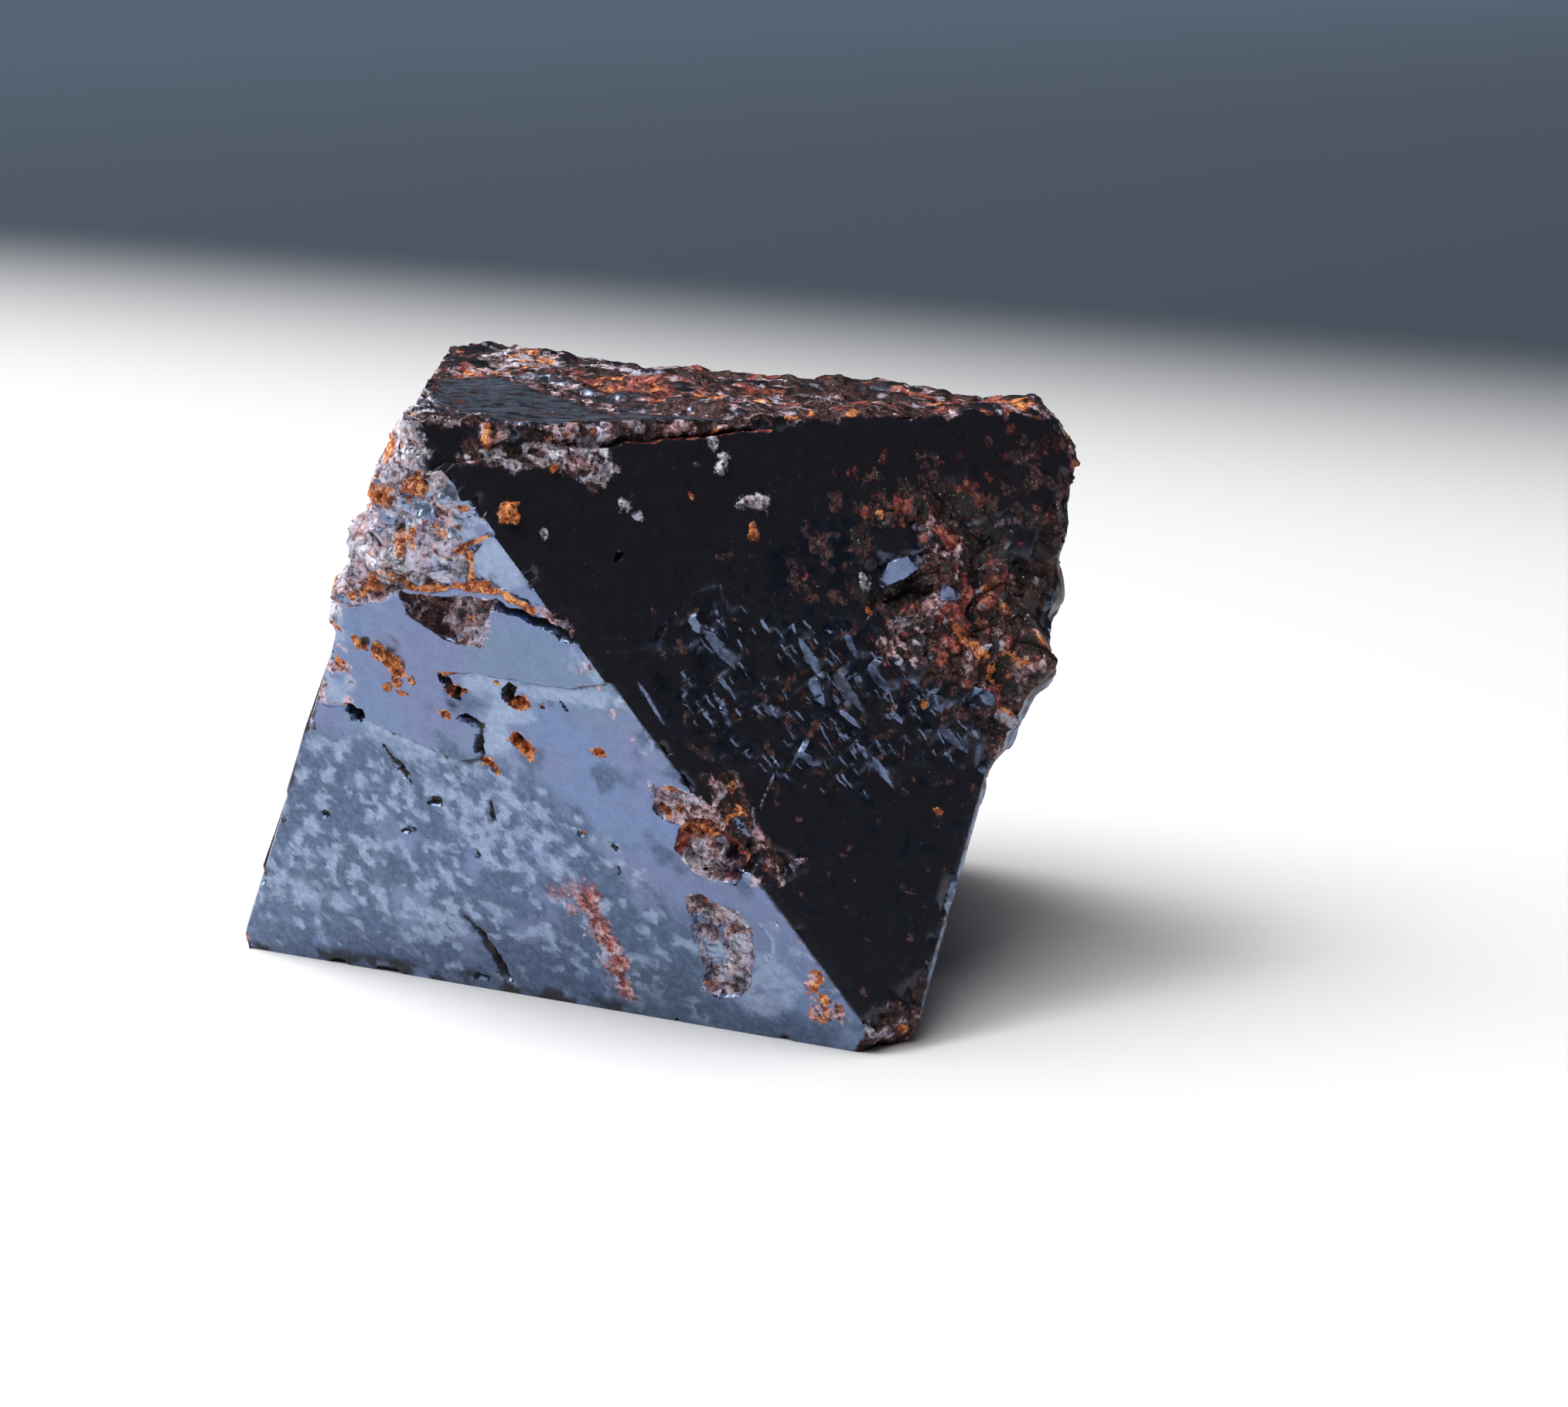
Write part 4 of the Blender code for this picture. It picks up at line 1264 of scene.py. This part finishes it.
def decimate(body):
    # The seen faces keep an even mesh, and the others thin out where they are flat.
    points = readPoints(body.data)
    group = body.vertex_groups.new(name="free")
    seen = np.zeros(len(points), bool)
    for name in thinning["seenFaces"]:
        seen |= np.abs(heightAbove(faces[name], points)) < thinning["seenReach"]
    group.add(np.flatnonzero(~seen).tolist(), 1.0, "REPLACE")
    group.add(np.flatnonzero(seen).tolist(), thinning["seenWeight"], "REPLACE")
    count = sum(len(face.vertices) - 2 for face in body.data.polygons)
    thin = body.modifiers.new("thin", "DECIMATE")
    thin.ratio = thinning["triangles"] / count
    thin.vertex_group = "free"
    thin.vertex_group_factor = thinning["evenness"]
    # Decimate rounds away small errors, so it works on a mesh a thousand times as large.
    shake = thinning["shake"]
    moved = points + np.random.default_rng(thinning["seed"]).uniform(-shake, shake, points.shape)
    writePoints(body.data, moved / mm)
    bpy.ops.object.modifier_apply(modifier="thin")
    writePoints(body.data, readPoints(body.data) * mm)
    body.vertex_groups.clear()


fineGround = {
    # parts of the faces that need a finer mesh, as outlines on them
    "left": ((-7, 11.2), (-3.5, 7.4), (3.6, 8), (4.2, 4), (4.4, 0.4), (10, 0.2), (11, 0), (1, 20), (-7, 20)),
    "right": ((-12, 19), (-9, 12), (-5.2, 8.5), (-2.6, 4.2), (-1.4, 6.5), (2, 6.4), (9, 9), (13, 19)),
    "top": wholeFace,
}


def refine(body, ground):
    # Split the mesh where the surface is rough.
    middles = np.empty(len(body.data.polygons) * 3)
    body.data.polygons.foreach_get("center", middles)
    middles = middles.reshape(-1, 3) / mm
    chosen = np.zeros(len(middles), bool)
    for name, outline in ground.items():
        face = faces[name]
        u, v = (middles - face["foot"]) @ face["along"], (middles - face["foot"]) @ face["up"]
        on = np.abs(heightAbove(face, middles)) < 0.05
        chosen |= on & (outlineDepth(u, v, outline) > 0)
    bpy.ops.object.mode_set(mode="EDIT")
    bpy.ops.mesh.select_mode(type="FACE")
    bpy.ops.mesh.select_all(action="DESELECT")
    bpy.ops.object.mode_set(mode="OBJECT")
    body.data.polygons.foreach_set("select", chosen)
    bpy.ops.object.mode_set(mode="EDIT")
    bpy.ops.mesh.subdivide(number_cuts=1)
    bpy.ops.object.mode_set(mode="OBJECT")


body = makeBlank()
refine(body, fineGround)
refine(body, {"right": rightFace["riserField"]["outline"]})
print("the blank octahedron is cut")
sculpt(body)
print("the faces have grown")
decimate(body)

# The crystal's material: bare metal-grey cuprite, and a layer of it for each mark

cuprite = {
    "grey": (0.170, 0.204, 0.347),
    "blue": (0.150, 0.218, 0.374),
    "teal": (0.150, 0.222, 0.320),
    "dull": (0.128, 0.152, 0.270),
    "bright": (0.24, 0.28, 0.42),
    "rough": (0.20, 0.32),
    "pink": (0.50, 0.28, 0.30),
    "white": (0.62, 0.64, 0.84),
    "dust": (0.42, 0.44, 0.54),
    "hollow": (0.014, 0.008, 0.008),
    "glint": (0.62, 0.60, 0.66),
    "stretch": (42, 1.4),  # which way the films are drawn out, and how far
    "bump": 0.06,
}

noises = {
    # size of the lumps, detail and roughness
    "broad": (3.4, 3, 0.5),
    "blotch": (0.75, 3, 0.55),
    "coarse": (0.42, 7, 0.72),
    "second": (0.32, 6, 0.72),
    "film": (0.30, 8, 0.78),
    "crumbs": (0.22, 6, 0.72),
    "fine": (0.10, 4, 0.70),
}

# dark, middle and light tints, how ragged and soft the layer's border is and which noise it follows,
# and whether it is gritty
layers = {
    # a dark blue film, real in places and painted shade in others, such as the foot and the dim steps
    "dusk": {
        "tints": ((0.05, 0.072, 0.124), (0.076, 0.11, 0.18), (0.112, 0.156, 0.246)),
        "border": ("film", 0), "ragged": 2.0, "soft": 0.6,
        "rough": 0.28, "metal": 1.0, "gritty": False,
    },
    "haze": {
        "tints": ((0.2, 0.26, 0.38), (0.3, 0.38, 0.53), (0.43, 0.51, 0.67)),
        "border": ("film", 1), "ragged": 3.2, "soft": 0.5,
        "rough": 0.42, "metal": 1.0, "gritty": False,
    },
    # a dark film, real on the right face and the top, and painted shade at the foot and on the dim steps
    "umber": {
        "tints": ((0.015, 0.016, 0.024), (0.03, 0.031, 0.044), (0.06, 0.056, 0.07)),
        "border": ("film", 2), "ragged": 2.0, "soft": 0.45,
        "rough": 0.36, "metal": 0.7, "gritty": False,
    },
    "brown": {
        "tints": ((0.006, 0.003, 0.004), (0.04, 0.013, 0.013), (0.135, 0.055, 0.056)),
        "border": ("coarse", 0), "ragged": 2.6, "soft": 0.26,
        "rough": 0.4, "metal": 0.4, "gritty": True,
    },
    "red": {
        "tints": ((0.08, 0.01, 0.008), (0.3, 0.048, 0.036), (0.54, 0.18, 0.13)),
        "border": ("film", 2), "ragged": 1.6, "soft": 0.35,
        "rough": 0.4, "metal": 0.3, "gritty": True,
    },
    "blush": {
        "tints": ((0.08, 0.035, 0.035), (0.36, 0.2, 0.215), (0.8, 0.62, 0.68)),
        "border": ("crumbs", 0), "ragged": 2.8, "soft": 0.25,
        "rough": 0.42, "metal": 0.3, "gritty": True,
    },
    "clay": {
        "tints": ((0.17, 0.155, 0.18), (0.54, 0.51, 0.61), (0.9, 0.9, 1.0)),
        "border": ("crumbs", 1), "ragged": 2.8, "soft": 0.25,
        "rough": 0.6, "metal": 0.2, "gritty": True,
    },
    "rust": {
        "tints": ((0.15, 0.03, 0.008), (0.58, 0.15, 0.034), (0.94, 0.44, 0.17)),
        "border": ("second", 0), "ragged": 2.0, "soft": 0.14,
        "rough": 0.8, "metal": 0.0, "gritty": True,
    },
    # painted shade, near black, in pits, cracks and crevices and along ledges
    "deep": {
        "tints": ((0.003, 0.003, 0.004), (0.01, 0.007, 0.007), (0.035, 0.022, 0.02)),
        "border": ("second", 1), "ragged": 1.8, "soft": 0.2,
        "rough": 0.6, "metal": 0.0, "gritty": False,
    },
}


def noiseTriple(tree, place, size, detail, rough):
    # Three separate noises from 0 to 1.
    split = tree.nodes.new("ShaderNodeSeparateColor")
    feed(tree, split.inputs[0], noiseNode(tree, place, size, detail, rough).outputs["Color"])
    return list(split.outputs)


def drawnOut(tree, place):
    # The place squeezed, so that noise on it is drawn out down to the right.
    turn, share = cuprite["stretch"]
    node = tree.nodes.new("ShaderNodeMapping")
    node.vector_type = "TEXTURE"
    node.inputs["Rotation"].default_value[1] = math.radians(turn)
    node.inputs["Scale"].default_value[0] = share
    feed(tree, node.inputs["Vector"], place)
    return node.outputs[0]


def grainTone(tree, place, size):
    # A number for each packed grain.
    cells = tree.nodes.new("ShaderNodeTexVoronoi")
    feed(tree, cells.inputs["Vector"], place)
    cells.inputs["Scale"].default_value = 1 / (size * mm)
    split = tree.nodes.new("ShaderNodeSeparateColor")
    feed(tree, split.inputs[0], cells.outputs["Color"])
    return split.outputs[0]


def times(tree, first, second):
    return calc(tree, "MULTIPLY", first, second)


def toward(tree, factor, value, goal):
    # The value moved to the goal by this factor.
    return calc(tree, "ADD", value, times(tree, factor, calc(tree, "SUBTRACT", goal, value)))


def layerFactor(tree, mark, layer, ragged):
    # How far a layer covers what is below it, with a ragged border.
    amount = attribute(tree, mark)
    shifted = times(tree, calc(tree, "SUBTRACT", ragged, 0.5), layer["ragged"])
    shifted = calc(tree, "ADD", amount, shifted)
    factor = between(tree, shifted, 0.5 - layer["soft"], 0.5 + layer["soft"])
    return times(tree, factor, between(tree, amount, 0.02, 0.15))


def bareColor(tree, broad, coarse, fine):
    color = blend(tree, between(tree, broad[0], 0.40, 0.60), cuprite["grey"], cuprite["blue"])
    color = blend(tree, between(tree, broad[1], 0.50, 0.68), color, cuprite["teal"])
    color = blend(tree, between(tree, coarse[2], 0.42, 0.62, 0.0, 0.40), color, cuprite["dull"])
    return blend(tree, between(tree, fine[0], 0.35, 0.75, 0.0, 0.35), color, cuprite["bright"])


def gritTone(tree, place, second, fine):
    # How light each grain of the gritty layers is.
    tone = calc(tree, "ADD", times(tree, second[2], 0.9), times(tree, fine[1], 0.5))
    tone = calc(tree, "ADD", tone, times(tree, grainTone(tree, place, 0.13), 0.26))
    return calc(tree, "MULTIPLY_ADD", tone, 2.0, -1.15)


def paleCrust(tree, color, pale, made, grit):
    # The pale crusts are pink in some places and white in others.
    pink = times(tree, pale, between(tree, made["blotch"][0], 0.45, 0.62, 0.0, 0.5))
    color = blend(tree, times(tree, pink, between(tree, grit, 0.1, 0.6)), color, cuprite["pink"])
    white = times(tree, pale, between(tree, made["blotch"][1], 0.48, 0.64, 0.0, 0.65))
    return blend(tree, times(tree, white, between(tree, grit, 0.1, 0.5)), color, cuprite["white"])


def cupriteMaterial():
    material, tree, shader = newMaterial("cuprite")
    place = objectPlace(tree)
    drawn = drawnOut(tree, place)
    made = {
        name: noiseTriple(tree, drawn if name == "film" else place, *values)
        for name, values in noises.items()
    }
    coarse, fine = made["coarse"], made["fine"]
    color = bareColor(tree, made["broad"], coarse, fine)
    rough = between(tree, coarse[0], 0.3, 0.7, *cuprite["rough"])
    metal, gritty, pale = 1.0, 0.0, 0.0
    grit = gritTone(tree, place, made["second"], fine)
    filmTone = calc(tree, "ADD", times(tree, coarse[1], 0.7), times(tree, fine[2], 0.3))
    for mark, layer in layers.items():
        noiseName, turn = layer["border"]
        factor = layerFactor(tree, mark, layer, made[noiseName][turn])
        if mark in ("dusk", "haze"):
            factor = times(tree, factor, between(tree, made["crumbs"][2], 0.36, 0.60, 0.50, 1.0))
        tone = grit if layer["gritty"] else filmTone
        tint = threeTints(tree, tone, (0.25, 0.50, 0.50, 0.78), *layer["tints"])
        color = blend(tree, factor, color, tint)
        rough = toward(tree, factor, rough, layer["rough"])
        # The shine changes only where the layer is thick, or its border would glow.
        metal = toward(tree, calc(tree, "POWER", factor, 4.0), metal, layer["metal"])
        if layer["gritty"]:
            gritty = calc(tree, "MAXIMUM", gritty, factor)
        if mark in ("blush", "clay"):
            pale = calc(tree, "MAXIMUM", pale, factor)
    color = paleCrust(tree, color, pale, made, grit)
    # Fine pale specks all over are painted glints.
    glintSpread = between(tree, made["broad"][2], 0.40, 0.62, 0.15, 0.55)
    dust = times(tree, between(tree, fine[1], 0.655, 0.70), glintSpread)
    color = blend(tree, dust, color, cuprite["dust"])
    # Painted shade darkens the low places of the gritty crusts.
    hollow = times(tree, attribute(tree, "hollow"), gritty)
    color = blend(tree, times(tree, hollow, 0.9), color, cuprite["hollow"])
    glint = times(tree, gritty, between(tree, fine[2], 0.635, 0.66))
    color = blend(tree, times(tree, glint, 0.7), color, cuprite["glint"])
    rough = calc(tree, "SUBTRACT", rough, times(tree, glint, 0.35), clamp=True)
    feed(tree, shader.inputs["Base Color"], color)
    feed(tree, shader.inputs["Roughness"], rough)
    feed(tree, shader.inputs["Metallic"], metal)
    bump = tree.nodes.new("ShaderNodeBump")
    feed(tree, bump.inputs["Strength"], calc(tree, "MULTIPLY_ADD", gritty, 0.85, 0.03))
    bump.inputs["Distance"].default_value = cuprite["bump"] * mm
    feed(tree, bump.inputs["Height"], calc(tree, "ADD", grit, times(tree, fine[0], 0.12)))
    feed(tree, shader.inputs["Normal"], bump.outputs[0])
    return material


body.data.materials.clear()
body.data.materials.append(cupriteMaterial())
bpy.ops.object.shade_smooth_by_angle(angle=math.radians(28))

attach(body, "root")
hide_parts("crystal")
print("the crystal has its surface")

# Loose grains that stick to the crusts

looseGrains = {
    # the mark that they gather on, how many, smallest and largest size, and how they look
    "rustGrains": {
        "mark": "rust", "count": 1100, "size": (0.05, 0.20), "slot": "iron_oxide", "seed": 31,
        "tints": ((0.14, 0.024, 0.006), (0.42, 0.10, 0.016), (0.78, 0.30, 0.08)),
        "rough": 0.75, "metal": 0.0,
    },
    "clayGrains": {
        "mark": "clay", "count": 1500, "size": (0.04, 0.16), "slot": "clay", "seed": 32,
        "tints": ((0.20, 0.17, 0.18), (0.46, 0.43, 0.48), (0.80, 0.80, 0.90)),
        "rough": 0.6, "metal": 0.0,
    },
    "darkGrains": {
        "mark": "brown", "count": 1500, "size": (0.04, 0.18), "slot": "cuprite", "seed": 33,
        "tints": ((0.02, 0.012, 0.012), (0.10, 0.045, 0.045), (0.30, 0.24, 0.30)),
        "rough": 0.25, "metal": 0.8,
    },
}

sunk = 0.22  # how much of its size each grain is set into the surface


def readMark(mesh, mark):
    values = np.empty(len(mesh.vertices), np.float32)
    mesh.attributes[mark].data.foreach_get("value", values)
    return values


def readNormals(mesh):
    normals = np.empty(len(mesh.vertices) * 3, np.float32)
    mesh.vertices.foreach_get("normal", normals)
    return normals.reshape(-1, 3)


def grainBlock():
    # The corners and sides of the small block that every grain is made from.
    bpy.ops.mesh.primitive_ico_sphere_add(subdivisions=1, radius=0.5)
    block = bpy.context.object
    shape = np.empty(len(block.data.vertices) * 3)
    block.data.vertices.foreach_get("co", shape)
    sides = np.array([tuple(face.vertices) for face in block.data.polygons])
    bpy.data.objects.remove(block)
    return shape.reshape(-1, 3), sides


def grainMaterial(name, grain):
    material, tree, shader = newMaterial(name)
    tint = threeTints(tree, attribute(tree, "tone"), (0.1, 0.5, 0.6, 1.0), *grain["tints"])
    speckle = noiseNode(tree, objectPlace(tree), 0.06, 3.0, 0.6).outputs["Fac"]
    mottle = between(tree, speckle, 0.3, 0.7, 0.0, 0.5)
    feed(tree, shader.inputs["Base Color"], blend(tree, mottle, tint, grain["tints"][0]))
    shader.inputs["Roughness"].default_value = grain["rough"]
    shader.inputs["Metallic"].default_value = grain["metal"]
    return material


def scatter(name, grain, body):
    # The block is copied to random points of the marked surface, each turned and sized at random.
    pick = np.random.default_rng(grain["seed"])
    points, amount = readPoints(body.data), readMark(body.data, grain["mark"]) ** 3
    chosen = pick.choice(len(points), grain["count"], replace=False, p=amount / amount.sum())
    outward = readNormals(body.data)[chosen]
    shape, sides = grainBlock()
    smallest, largest = grain["size"]
    places, corners, tones = [], [], []
    for number, point in enumerate(points[chosen]):
        size = smallest + (largest - smallest) * pick.random() ** 3
        turn, _ = np.linalg.qr(pick.normal(size=(3, 3)))
        turn *= np.sign(np.linalg.det(turn))
        stretch = pick.uniform(0.6, 1.2, 3)
        ragged = pick.uniform(0.75, 1.15, (len(shape), 1))
        point = point - sunk * size * outward[number]
        places.append(point + size * (shape * ragged * stretch) @ turn.T)
        corners.append(sides + number * len(shape))
        tones.append(np.full(len(shape), pick.random()))
    mesh = bpy.data.meshes.new(name)
    mesh.from_pydata((np.concatenate(places) * mm).tolist(), [], np.concatenate(corners).tolist())
    layer = mesh.attributes.new("tone", "FLOAT", "POINT")
    layer.data.foreach_set("value", np.concatenate(tones).astype(np.float32))
    mesh.materials.append(grainMaterial(name, grain))
    obj = bpy.data.objects.new(name, mesh)
    bpy.context.scene.collection.objects.link(obj)
    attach(obj, "root")


for name, grain in looseGrains.items():
    scatter(name, grain, body)
print("the loose grains are scattered")
